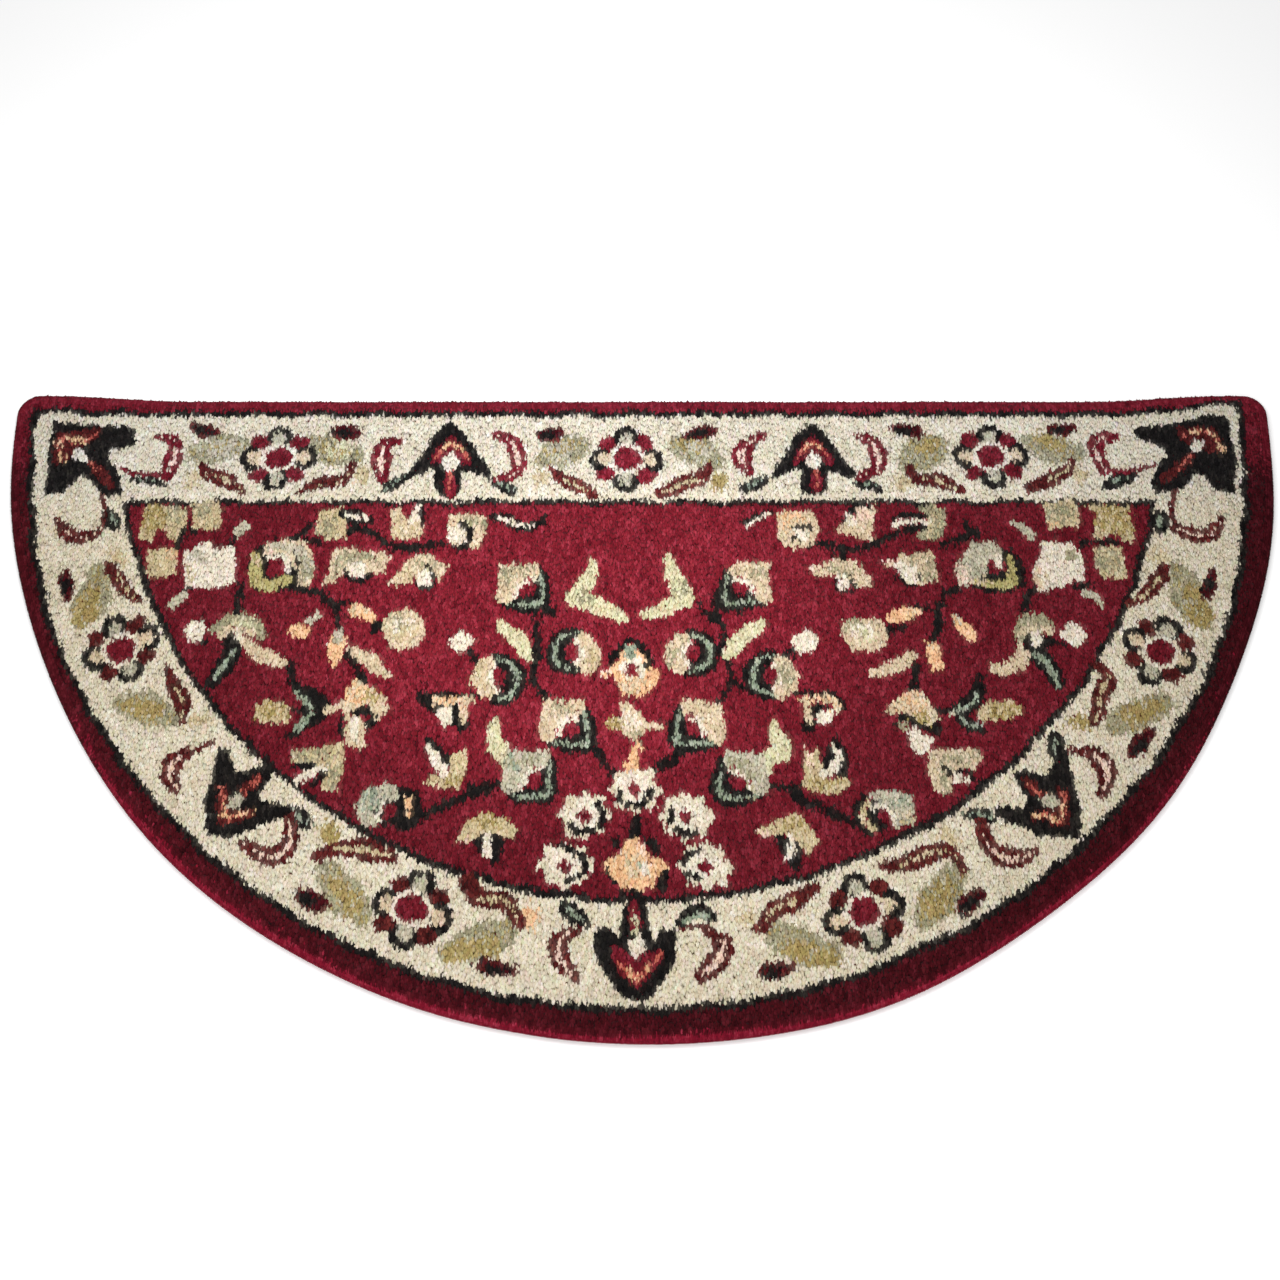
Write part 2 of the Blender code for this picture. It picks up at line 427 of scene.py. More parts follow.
# palmettes with a square point: where the point lies, which way the arms run, and the kind
corners = (
    {"at": (-526, -26), "flips": (1, -1), "kind": "left"},
    {"at": (522, -20), "flips": (-1, -1), "kind": "right"},
    {"at": (-347, -396), "flips": (1, 1), "kind": "side"},
    {"at": (347, -398), "flips": (-1, 1), "kind": "side"},
)
squareShapes = {
    "left": {
        "black": [(3, -2), (30, -1), (77, 4), (78, 20), (66, 25), (56, 28), (56, 34), (66, 46), (74, 64),
                  (71, 71), (63, 71), (54, 66), (39, 56), (34, 52), (29, 58), (23, 66), (8, 70), (5, 64),
                  (3, 34)],
        "crimson": [(8, 10), (24, 7), (46, 3), (46, 14), (34, 20), (28, 24), (24, 30), (20, 38), (10, 40),
                    (6, 30)],
        "coral": [(42, 9), (34, 14), (26, 17), (15, 15), (11, 23), (14, 31), (20, 33)],
        "heart": ((33, 32), (17, 11)),
        "tail": [(42, 40), (50, 48), (62, 60)],
    },
    "right": {
        "black": [(88, 10), (67, 8), (44, 4), (22, -2), (6, -4), (0, 4), (0, 30), (2, 58), (4, 73),
                  (14, 75), (22, 70), (30, 60), (36, 56), (44, 64), (52, 70), (67, 72), (74, 74), (78, 70),
                  (76, 60), (70, 46), (60, 36), (59, 32), (72, 27), (82, 22), (88, 14)],
        "crimson": [(48, 9), (30, 7), (13, 9), (9, 24), (13, 34), (25, 35), (35, 26), (46, 21)],
        "coral": [(42, 18), (35, 13), (22, 13), (14, 21), (12, 30)],
        "heart": ((34, 30), (17, 11)),
        "tail": [(40, 38), (52, 49), (66, 59)],
    },
    "side": {
        "black": [(-1, 0), (18, -2), (33, 0), (50, 9), (67, 18), (66, 24), (42, 25), (38, 32), (48, 45),
                  (48, 53), (40, 56), (20, 50), (15, 58), (8, 71), (3, 70), (0, 48), (-2, 25)],
        "crimson": [(8, 8), (22, 9), (39, 13), (37, 19), (24, 20), (16, 28), (13, 39), (7, 37), (6, 20)],
        "coral": [(10, 35), (12, 24), (14, 14), (24, 15), (37, 17)],
        "heart": ((21, 28), (16, 12)),
        "tail": [(28, 36), (38, 46)],
    },
}


def drawSquare(at, flips, kind):
    shapes = squareShapes[kind]
    spot = near(at, 0, flips, palmette["squareReach"])
    dye(spot, patch(spot, shapes["black"]), "black")
    dye(spot, patch(spot, shapes["crimson"]), "madder", blur=0.8)
    dye(spot, stroke(spot, shapes["coral"], palmette["armWidths"]), "coral", blur=1.2)
    dye(spot, stroke(spot, shapes["coral"][1:], palmette["glintWidth"]), "peach", blur=1.8)
    dye(spot, oval(spot, *shapes["heart"], turn=45), "ash" if kind == "side" else "white", blur=0.8)
    dye(spot, stroke(spot, shapes["tail"], palmette["squareTail"]), "madder", blur=0.8)
    dye(spot, stroke(spot, shapes["tail"][:2], palmette["squareRib"]), "coral", blur=1.4)


rosettes = (
    {"at": (-320, -60), "turn": 0},
    {"at": (-14, -61), "turn": 0},
    {"at": (307, -58), "turn": 0},
    {"at": (-434, -239), "turn": 25},
    {"at": (431, -241), "turn": -26},
    {"at": (-179, -456), "turn": -17},
    {"at": (173, -458), "turn": 18},
)
rosetteForm = {
    # rings of four petals: how far out they lie across and up, and their size
    "reds": ((23.5, 22), (17, 15)),
    "rims": ((23.5, 22.5), (19, 23)),
    "insides": ((20.5, 19.5), (14, 12)),
    "white": (31, 29),
    "heart": (24, 22),
}


def petalRing(spot, ring, first, turns, petalYarns, blur):
    out, size = ring
    for quarter in range(4):
        side = first + quarter * 90
        middle = (out[0] * math.cos(math.radians(side)), out[1] * math.sin(math.radians(side)))
        dye(spot, oval(spot, middle, size, side * turns), petalYarns[quarter % 2], blur)


def drawRosette(at, turn):
    spot = near(at, turn)
    petalRing(spot, rosetteForm["reds"], 45, False, (redAt(at), redAt(at)), blur=0.8)
    petalRing(spot, rosetteForm["rims"], 0, True, ("black", "black"), blur=0.5)
    petalRing(spot, rosetteForm["insides"], 0, True, ("cream", "ash"), blur=0.8)
    dye(spot, oval(spot, (0, 0), rosetteForm["white"]), "white", blur=0.7)
    dye(spot, oval(spot, (0, 0), rosetteForm["heart"]), "crimson", blur=0.7)


# curled leaves beside the palmettes: a thick crescent, and the thin stalk of some
hooks = (
    {"curl": [(-428, -37), (-414, -43), (-413, -58), (-415, -76)], "widths": (4, 9, 13, 9),
     "stalk": [(-416, -79), (-432, -77), (-456, -70)]},
    {"curl": [(-506, -118), (-497, -131), (-483, -136), (-470, -133)], "widths": (3, 9, 10, 7),
     "stalk": [(-469, -130), (-466, -115), (-469, -96)]},
    {"curl": [(-213, -42), (-227, -46), (-229, -62), (-228, -78)], "widths": (3, 8, 15, 9)},
    {"curl": [(-130, -37), (-115, -43), (-109, -58), (-112, -74), (-127, -80)],
     "widths": (4, 9, 14, 9, 4)},
    {"curl": [(107, -38), (93, -46), (86, -58), (95, -74)], "widths": (4, 10, 14, 6)},
    {"curl": [(191, -38), (203, -43), (207, -58), (204, -72), (191, -79)], "widths": (4, 9, 14, 10, 7)},
    {"curl": [(420, -38), (405, -41), (401, -54), (404, -72)], "widths": (4, 10, 13, 9),
     "stalk": [(405, -73), (425, -73), (450, -67)]},
    {"curl": [(501, -119), (492, -132), (477, -134), (460, -130)], "widths": (4, 12, 11, 8),
     "stalk": [(459, -128), (458, -110), (466, -92)]},
    {"curl": [(-373, -359), (-380, -350), (-380, -338), (-371, -329)], "widths": (4, 12, 14, 6),
     "stalk": [(-371, -329), (-359, -326), (-349, -321)]},
    {"curl": [(-281, -382), (-278, -400), (-288, -413), (-301, -413), (-317, -404)],
     "widths": (6, 11, 14, 12, 3)},
    {"curl": [(-50, -472), (-64, -479), (-64, -491), (-51, -508)], "widths": (4, 11, 13, 4)},
    {"curl": [(50, -473), (61, -481), (59, -492), (44, -507)], "widths": (4, 11, 15, 7)},
    {"curl": [(269, -388), (272, -402), (282, -413), (294, -415), (310, -411)],
     "widths": (7, 9, 14, 13, 6)},
    {"curl": [(346, -328), (364, -329), (374, -339), (374, -350), (367, -362)],
     "widths": (3, 7, 14, 13, 6)},
)
# long red leaves
ribbons = (
    {"path": [(-386, -65), (-381, -76), (-366, -81), (-347, -93)], "widths": (5, 11, 13, 6)},
    {"path": [(-298, -93), (-281, -84), (-262, -82), (-254, -68)], "widths": (4, 10, 11, 6)},
    {"path": [(-80, -72), (-68, -82), (-52, -88), (-43, -95)], "widths": (5, 13, 12, 7)},
    {"path": [(58, -67), (51, -79), (35, -86), (17, -94)], "widths": (6, 13, 13, 8)},
    {"path": [(234, -69), (244, -80), (262, -84), (278, -91)], "widths": (5, 11, 13, 7)},
    {"path": [(338, -89), (355, -82), (370, -75), (378, -64)], "widths": (8, 12, 11, 5)},
    {"path": [(-457, -164), (-447, -172), (-438, -185), (-424, -197)], "widths": (7, 12, 11, 5)},
    {"path": [(446, -164), (438, -177), (427, -189), (412, -199)], "widths": (7, 12, 11, 5)},
    {"path": [(-394, -256), (-387, -271), (-379, -285), (-376, -302)], "widths": (4, 11, 13, 4)},
    {"path": [(375, -253), (384, -265), (377, -283), (370, -304)], "widths": (5, 13, 13, 8)},
    {"path": [(-254, -414), (-242, -409), (-222, -407), (-198, -415)], "widths": (11, 13, 15, 11)},
    {"path": [(189, -421), (206, -421), (226, -411), (245, -411), (251, -425)],
     "widths": (6, 13, 14, 10, 5)},
    {"path": [(-138, -433), (-126, -447), (-106, -451), (-95, -466)], "widths": (10, 14, 13, 10)},
    {"path": [(132, -439), (120, -450), (103, -456), (90, -470)], "widths": (9, 14, 13, 10)},
)
leafForms = {
    # the red is this much wider than the row says, and the rib inside it this much narrower
    "hook": {"more": 3.0, "less": 8.6, "rib": "pink", "blur": 0.9},
    "ribbon": {"more": 1.5, "less": 9.8, "rib": "tan", "blur": 1.0},
}
stalkWidths = (5, 4, 4)


def drawLeaf(spot, path, widths, form, yarn, ribFrom=0):
    dye(spot, stroke(spot, path, [width + form["more"] for width in widths]), yarn, blur=0.7)
    thin = [max(width - form["less"], 0.0) for width in widths[ribFrom:]]
    dye(spot, stroke(spot, path[ribFrom:], thin), form["rib"], form["blur"])


def drawHook(curl, widths, stalk=None):
    spot = around(curl + (stalk or []))
    if stalk:
        dye(spot, stroke(spot, stalk, stalkWidths), redAt(curl[0]), blur=0.7)
    drawLeaf(spot, curl, widths, leafForms["hook"], redAt(curl[0]))


def drawRibbon(path, widths):
    drawLeaf(around(path), path, widths, leafForms["ribbon"], "madder", ribFrom=1)


# small black leaves with a pale green heart: place, size and turn
buttons = (
    ((-459, -121), (25, 16), -55), ((-216, -85), (30, 11), 35), ((-121, -87), (30, 11), -28),
    ((99, -86), (31, 12), 28), ((197, -87), (28, 11), -20), ((417, -81), (33, 14), 24),
    ((447, -123), (23, 16), 80), ((-275, -382), (28, 13), -38), ((-53, -460), (26, 14), -42),
    ((268, -382), (28, 12), -8), ((335, -323), (25, 15), 82), ((-430, -83), (32, 8), -12),
)
# dark red flecks: place, size and turn
flecks = (
    ((-387, -32), (30, 12), -12), ((-262, -34), (28, 14), -4), ((-81, -36), (26, 15), 0),
    ((53, -35), (32, 13), 12), ((235, -33), (32, 13), -4), ((372, -31), (28, 14), 8),
    ((-489, -182), (12, 33), 14), ((482, -181), (13, 30), -20), ((-258, -448), (30, 15), -30),
    ((256, -450), (30, 14), 36), ((-112, -500), (36, 12), -10), ((103, -502), (32, 12), 16),
    ((405, -321), (36, 14), 45),
)
spotForms = {
    # ovals from the widest to the last: yarn, the share of the length that it lies off the middle, how
    # many mm more it lies off it, its share of the row's size, and blur
    "button": (("black", 0, (0, 0), (1, 1), 0.5), ("mint", 0, (-1, 1), (0.55, 0.28), 1.0)),
    "fleck": (("madder", 0, (0, 0), (1, 1), 0.7), ("wineAndBandShade", 0, (0, 0), (0.8, 0.75), 1.2),
              ("black", -0.1, (0, -1), (0.6, 0.5), 1.2)),
}


def drawSpot(at, size, turn, form):
    spot = near(at, turn)
    for yarn, share, off, shares, blur in spotForms[form]:
        middle = (size[0] * share + off[0], off[1])
        dye(spot, oval(spot, middle, (size[0] * shares[0], size[1] * shares[1])), yarn, blur)


# soft leaf forms: a sage stroke and the gold one laid over its end, each with its widths
blotches = (
    ([(-392, -54), (-374, -50), (-354, -48)], (18, 30, 18), [(-374, -49), (-362, -47)], (14, 13)),
    ([(-252, -58), (-271, -53), (-290, -46)], (18, 31, 18), [(-278, -50), (-270, -56)], (12, 16)),
    ([(-86, -62), (-72, -54), (-56, -48)], (18, 31, 18), [(-80, -54), (-64, -47)], (16, 14)),
    ([(62, -61), (48, -53), (32, -46)], (18, 31, 18), [(54, -51), (38, -45)], (14, 16)),
    ([(237, -60), (248, -54), (260, -48)], (26, 36, 24), [(246, -50), (258, -46)], (14, 16)),
    ([(380, -56), (363, -50), (346, -45)], (20, 31, 18), [(368, -46), (354, -41)], (14, 16)),
    ([(-462, -172), (-464, -192), (-471, -214)], (20, 33, 18), [(-465, -190), (-469, -210)], (18, 22)),
    ([(455, -172), (462, -190), (468, -212)], (22, 33, 20), [(466, -188), (468, -208)], (16, 24)),
    ([(-428, -287), (-406, -291), (-384, -300)], (16, 29, 14), [(-420, -289), (-398, -293)], (14, 19)),
    ([(428, -287), (404, -297), (384, -306)], (16, 29, 16), [(420, -290), (400, -297)], (16, 20)),
    ([(-246, -426), (-236, -442), (-216, -462)], (20, 31, 13), [(-241, -436), (-226, -454)], (15, 19)),
    ([(244, -428), (234, -446), (216, -464)], (20, 31, 13), [(239, -438), (224, -456)], (15, 20)),
    ([(-104, -471), (-124, -481), (-148, -488)], (18, 30, 16), [(-118, -484), (-146, -489)], (18, 18)),
    ([(102, -475), (122, -484), (146, -490)], (18, 30, 18), [(116, -486), (142, -492)], (18, 18)),
)
blotchForm = {
    "sageBlur": 1.6,
    "goldBlur": 2.2,
    "goldLess": 2,  # the gold is this much narrower than the row says
    "strewnLess": 3,  # and so is the middle of the form, where the ends that stray most are pale or gold
    "paleOver": 1.2,
    "goldUnder": -1.0,
}


def drawBlotch(body, widths, core, coreWidths):
    spot = around(body)
    dye(spot, stroke(spot, body, widths), "sage", blotchForm["sageBlur"])
    coreWidths = [width - blotchForm["goldLess"] for width in coreWidths]
    dye(spot, stroke(spot, core, coreWidths), "gold", blotchForm["goldBlur"])
    inside = stroke(spot, body, [width - blotchForm["strewnLess"] for width in widths])
    stray = chart["stray"][spot["who"]]
    dye(spot, np.where(stray > blotchForm["paleOver"], inside, charting["farOff"]), "ash", blur=0)
    dye(spot, np.where(stray < blotchForm["goldUnder"], inside, charting["farOff"]), "gold", blur=0)


# small soft spots: place, size and yarn
blots = (
    ((-393, -79), (10, 16), "tan"), ((-246, -77), (13, 18), "tan"), ((-89, -80), (14, 15), "tan"),
    ((68, -82), (16, 17), "gold"), ((229, -83), (19, 15), "tan"), ((384, -78), (14, 15), "tan"),
    ((-449, -156), (14, 15), "tan"), ((443, -156), (17, 13), "tan"), ((-362, -302), (22, 9), "tan"),
    ((358, -303), (18, 11), "gold"), ((-248, -396), (15, 19), "gold"), ((243, -400), (14, 18), "tan"),
    ((-89, -461), (17, 17), "peach"), ((82, -462), (13, 12), "tan"),
)
blotBlur = 2.2
# the small leaf to the right of the front palmette, which has a shape of its own
frontLeaf = (
    ("black", [(30, -465), (42, -455), (54, -463)], 9),
    ("mint", [(34, -464), (43, -460), (51, -463)], 5),
    ("madder", [(30, -469), (50, -470)], 4),
)


def drawBorder(heights):
    drawBands(heights)
    for at, size, yarn in blots:
        spot = near(at)
        dye(spot, oval(spot, (0, 0), size), yarn, blotBlur)
    for row in blotches:
        drawBlotch(*row)
    for row in flecks:
        drawSpot(*row, "fleck")
    for row in ribbons:
        drawRibbon(**row)
    for row in buttons:
        drawSpot(*row, "button")
    draw(frontLeaf, blur=0.5)
    for row in hooks:
        drawHook(**row)
    for row in arrows:
        drawArrow(**row)
    for row in corners:
        drawSquare(**row)
    for row in rosettes:
        drawRosette(**row)


# each vine's points and width, or the place and size of a knot in it
vines = (
    # middle of the field
    ([(-88, -215), (-89, -225), (-88, -243), (-89, -270), (-80, -284)], 5), ((-78, -207), (16, 10)),
    ([(-90, -265), (-104, -268)], 4), ([(-88, -245), (-78, -243)], 6),
    ([(65, -187), (63, -207), (67, -225), (67, -242), (72, -252), (72, -267), (62, -287)], 4),
    ((60, -211), (15, 10)), ([(47, -197), (57, -211)], 3), ([(72, -267), (85, -273)], 4),
    ([(-37, -325), (-31, -336), (-23, -346)], 5), ([(30, -330), (21, -335), (13, -341)], 5),
    # left
    ([(-313, -141), (-298, -137), (-290, -131), (-284, -124)], 4), ([(-300, -138), (-277, -142)], 4),
    ([(-262, -131), (-248, -128), (-231, -135), (-217, -144), (-196, -146), (-171, -144)], 5),
    ([(-303, -180), (-273, -188), (-265, -197), (-257, -201), (-255, -222)], 5),
    ([(-262, -199), (-248, -199)], 4),
    ([(-341, -183), (-340, -208)], 5), ([(-396, -125), (-398, -150)], 5), ((-387, -130), (8, 7)),
    ((-385, -182), (8, 6)), ((-366, -232), (7, 6)), ([(-144, -239), (-138, -250)], 4),
    ([(-351, -131), (-353, -147)], 4), ((-223, -219), (11, 14)), ([(-291, -266), (-294, -252)], 4),
    ([(-230, -262), (-233, -270)], 5), ((-131, -361), (25, 14)), ([(-104, -355), (-122, -357)], 6),
    ([(-143, -364), (-154, -370), (-169, -377), (-182, -385)], 6),
    # right
    ([(143, -142), (158, -143), (167, -148), (178, -148), (190, -146), (201, -142), (214, -136)], 5),
    ([(172, -148), (173, -158)], 5), ([(214, -136), (228, -132)], 4),
    ([(258, -144), (272, -139), (287, -133)], 5), ([(277, -125), (281, -131)], 4),
    ([(267, -185), (257, -190), (255, -198), (248, -203), (247, -220), (244, -230)], (5, 6, 6, 7, 6, 5)),
    ([(248, -203), (236, -201), (228, -202)], 3), ([(333, -187), (328, -190), (325, -198), (323, -204)], 5),
    ([(127, -240), (122, -245), (116, -248)], 5), ((380, -142), (10, 11)), ([(388, -141), (407, -142)], 4),
    ([(369, -184), (379, -183)], 5), ([(202, -222), (217, -221)], 5), ([(278, -281), (281, -265)], 5),
    ([(227, -256), (223, -265), (224, -276)], 5), ((350, -235), (8, 5)),
    ([(95, -357), (106, -358), (117, -361)], 5), ((123, -363), (14, 12)), ([(121, -366), (137, -372)], 5),
    ([(137, -371), (145, -377), (155, -381), (166, -387)], 6),
)
vineForm = {"more": 1.6, "blur": 1.3}

leftPetals = (
    # the corner, and the pale shapes along the top
    ("tan", [(-432, -107), (-395, -107), (-394, -122), (-399, -142), (-407, -138), (-412, -129),
             (-418, -129), (-421, -140), (-432, -139)]),
    ("tan", [(-390, -105), (-378, -102), (-365, -104), (-364, -120), (-366, -129), (-389, -127)]),
    ("ash", [(-349, -133), (-343, -127)], 9),
    ("tan", [(-424, -149), (-410, -146), (-399, -148), (-398, -171), (-411, -175), (-423, -173)]),
    ("white", [(-391, -151), (-383, -147), (-378, -140), (-371, -140), (-366, -147), (-349, -145),
               (-346, -160), (-348, -180), (-362, -185), (-388, -183), (-392, -165)]),
    ("ash", [(-382, -150), (-373, -160)], 7),
    ("ash", [(-396, -199), (-388, -191)], 8),
    ("tan", [(-281, -112), (-270, -110), (-258, -107), (-255, -116), (-256, -136), (-268, -138),
             (-280, -135)]),
    ("black", [(-259, -113), (-249, -117), (-237, -121)], (8, 14, 9)),
    ("white", [(-256, -116), (-239, -119)], 4.5),
    ("cream", [(-218, -109), (-208, -108), (-206, -119), (-188, -118), (-186, -130), (-190, -138),
               (-216, -136)]),
    ("white", [(-202, -123), (-193, -110)], 7),
    ("black", [(-191, -111), (-189, -122)], 5),
    ("cream", [(-167, -116), (-150, -113), (-136, -115), (-134, -130), (-138, -145), (-160, -147),
               (-168, -138)]),
    ("black", [(-155, -122), (-147, -132), (-151, -144), (-161, -147)], (4, 7, 6, 4)),
    ("white", (-159, -134), (15, 21)),
    ("black", [(-131, -117), (-118, -121), (-104, -126), (-93, -125), (-84, -116)], (6, 11, 11, 9, 5)),
    ("white", [(-125, -120), (-112, -124), (-96, -125)], 4.5),
    # round the corner flower
    ("black", (-311, -165), (53, 48)),
    ("cream", [(-324, -153), (-322, -142), (-308, -138), (-292, -140), (-284, -150), (-279, -166),
               (-281, -181), (-290, -181), (-296, -170), (-303, -159), (-312, -152)]),
    ("ash", [(-318, -144), (-304, -146), (-293, -152), (-287, -163), (-285, -174)], (7, 10, 11, 9, 7)),
    ("black", [(-298, -152), (-295, -160), (-294, -169)], (1, 3, 2)),
    ("straw", [(-330, -154), (-330, -173), (-317, -183), (-300, -177)], (8, 11, 11, 8)),
    ("crimson", (-312, -164), (18, 20)),
    ("white", [(-319, -155), (-307, -156), (-303, -168)], (5, 5, 6)),
    ("cream", [(-271, -180), (-268, -160), (-264, -148), (-250, -146), (-240, -150), (-222, -149),
               (-215, -156), (-219, -169), (-230, -170), (-240, -172), (-254, -171), (-262, -179)]),
    ("sage", [(-263, -173), (-259, -157), (-241, -153), (-227, -157)], (4, 5, 6, 4)),
    ("black", [(-254, -168), (-250, -176), (-240, -177), (-231, -170)], 5),
    ("white", (-244, -167), (16, 15)),
    ("cream", [(-218, -181), (-208, -168), (-201, -158), (-194, -153), (-184, -153), (-178, -160),
               (-165, -163), (-169, -171), (-172, -177), (-180, -174), (-194, -176), (-202, -181),
               (-209, -183)]),
    ("black", [(-184, -165), (-178, -172), (-175, -179), (-184, -184), (-191, -180)], 4),
    ("white", (-185, -175), (15, 16)),
    # middle of the left side
    ("white", (-375, -223), (20, 20), 45),
    ("black", [(-349, -231), (-342, -233), (-343, -248), (-355, -269)], (10, 16, 17, 11)),
    ("sage", [(-357, -223), (-347, -216), (-336, -213), (-325, -218), (-319, -227)], (9, 12, 13, 12, 9)),
    ("cream", [(-354, -227), (-346, -222), (-327, -224)], (6, 6, 7)),
    ("white", (-338, -227), (9, 13)),
    ("mint", [(-341, -243), (-345, -252), (-354, -266)], (4, 5, 4)),
    ("cream", [(-331, -234), (-318, -243), (-300, -252)], (9, 14, 8)),
    ("peach", (-287, -224), (18, 12), -20),
    ("ash", [(-280, -214), (-274, -208)], 7),
    ("peach", (-235, -207), (27, 13), -18),
    ("peach", (-255, -239), (13, 31)),
    ("ash", [(-255, -225), (-255, -231)], 8),
    ("cream", (-200, -222), (36, 37), 20),
    ("white", (-201, -220), (19, 17)),
    ("cream", [(-243, -242), (-228, -250), (-210, -261)], (10, 14, 8)),
    ("black", [(-246, -243), (-236, -257), (-232, -268)], 5),
    ("white", (-151, -232), (20, 17), 45),
    # lower left
    ("tan", [(-317, -290), (-308, -284), (-291, -286), (-286, -294), (-292, -304), (-308, -306),
             (-316, -301)]),
    ("black", [(-290, -268), (-276, -279), (-262, -293), (-276, -304), (-288, -315)], (6, 14, 16, 12, 7)),
    ("mint", [(-286, -276), (-273, -289), (-272, -297), (-285, -309)], (4, 6, 6, 4)),
    ("black", [(-274, -293), (-286, -293)], (7, 3)),
    ("cream", [(-258, -294), (-246, -288)], 6),
    ("black", [(-243, -292), (-228, -292), (-216, -296), (-223, -305)], (7, 9, 8, 8)),
    ("cream", [(-248, -291), (-245, -276), (-235, -266), (-222, -272), (-212, -283), (-207, -296),
               (-217, -303), (-220, -293), (-229, -287), (-238, -292), (-243, -303)]),
    ("cream", [(-240, -298), (-232, -297), (-226, -306), (-224, -322), (-230, -328), (-242, -325),
               (-242, -310)]),
    ("black", [(-245, -299), (-246, -309), (-243, -317)], (3, 4, 3)),
    ("white", [(-235, -301), (-233, -318)], 7),
    ("tan", [(-284, -328), (-270, -324), (-243, -321), (-242, -345), (-244, -361), (-257, -360),
             (-258, -343), (-268, -337), (-282, -337)]),
    ("black", [(-282, -342), (-268, -340), (-258, -346), (-264, -354)], (4, 6, 6, 4)),
    ("white", [(-257, -341), (-268, -346), (-278, -354)], (5, 7, 5)),
    ("black", [(-183, -281), (-160, -279), (-134, -281)], (6, 5, 4)),
    ("black", [(-178, -285), (-160, -292), (-146, -306)], (9, 19, 11)),
    ("cream", [(-170, -284), (-155, -285), (-140, -285)], 7),
    ("cream", [(-146, -286), (-145, -302)], 6),
    ("white", [(-169, -290), (-155, -289), (-155, -303), (-162, -307), (-169, -300)]),
    ("black", [(-174, -319), (-166, -330), (-156, -337)], (7, 12, 9)),
    ("tan", [(-153, -330), (-143, -324), (-141, -345), (-147, -360), (-162, -359), (-175, -354),
             (-165, -346), (-155, -342)]),
    ("white", [(-175, -323), (-169, -332), (-161, -344)], (4, 8, 11)),
    ("black", (-199, -374), (34, 34)),
    ("ash", [(-192, -357), (-208, -354), (-222, -360), (-229, -375), (-224, -389), (-211, -390),
             (-213, -376), (-209, -368), (-194, -368)]),
    ("white", [(-207, -370), (-211, -378), (-210, -385)], 4),
    ("crimson", (-203, -378), (10, 15)),
    ("black", [(-194, -358), (-185, -366), (-181, -377), (-184, -387), (-193, -392)], (5, 8, 9, 8, 6)),
    ("peach", [(-190, -365), (-186, -375), (-187, -383)], (3, 4.5, 3)),
    ("black", [(-132, -394), (-122, -400), (-117, -416)], (11, 22, 8)),
    ("tan", [(-147, -402), (-139, -386), (-127, -378), (-112, -382), (-100, -392), (-103, -398),
             (-114, -397), (-128, -395), (-134, -404)]),
    ("white", [(-124, -396), (-121, -413)], 6),
    ("leaf", [(-120, -304), (-120, -318), (-114, -330), (-105, -341)], (8, 14, 16, 14)),
)

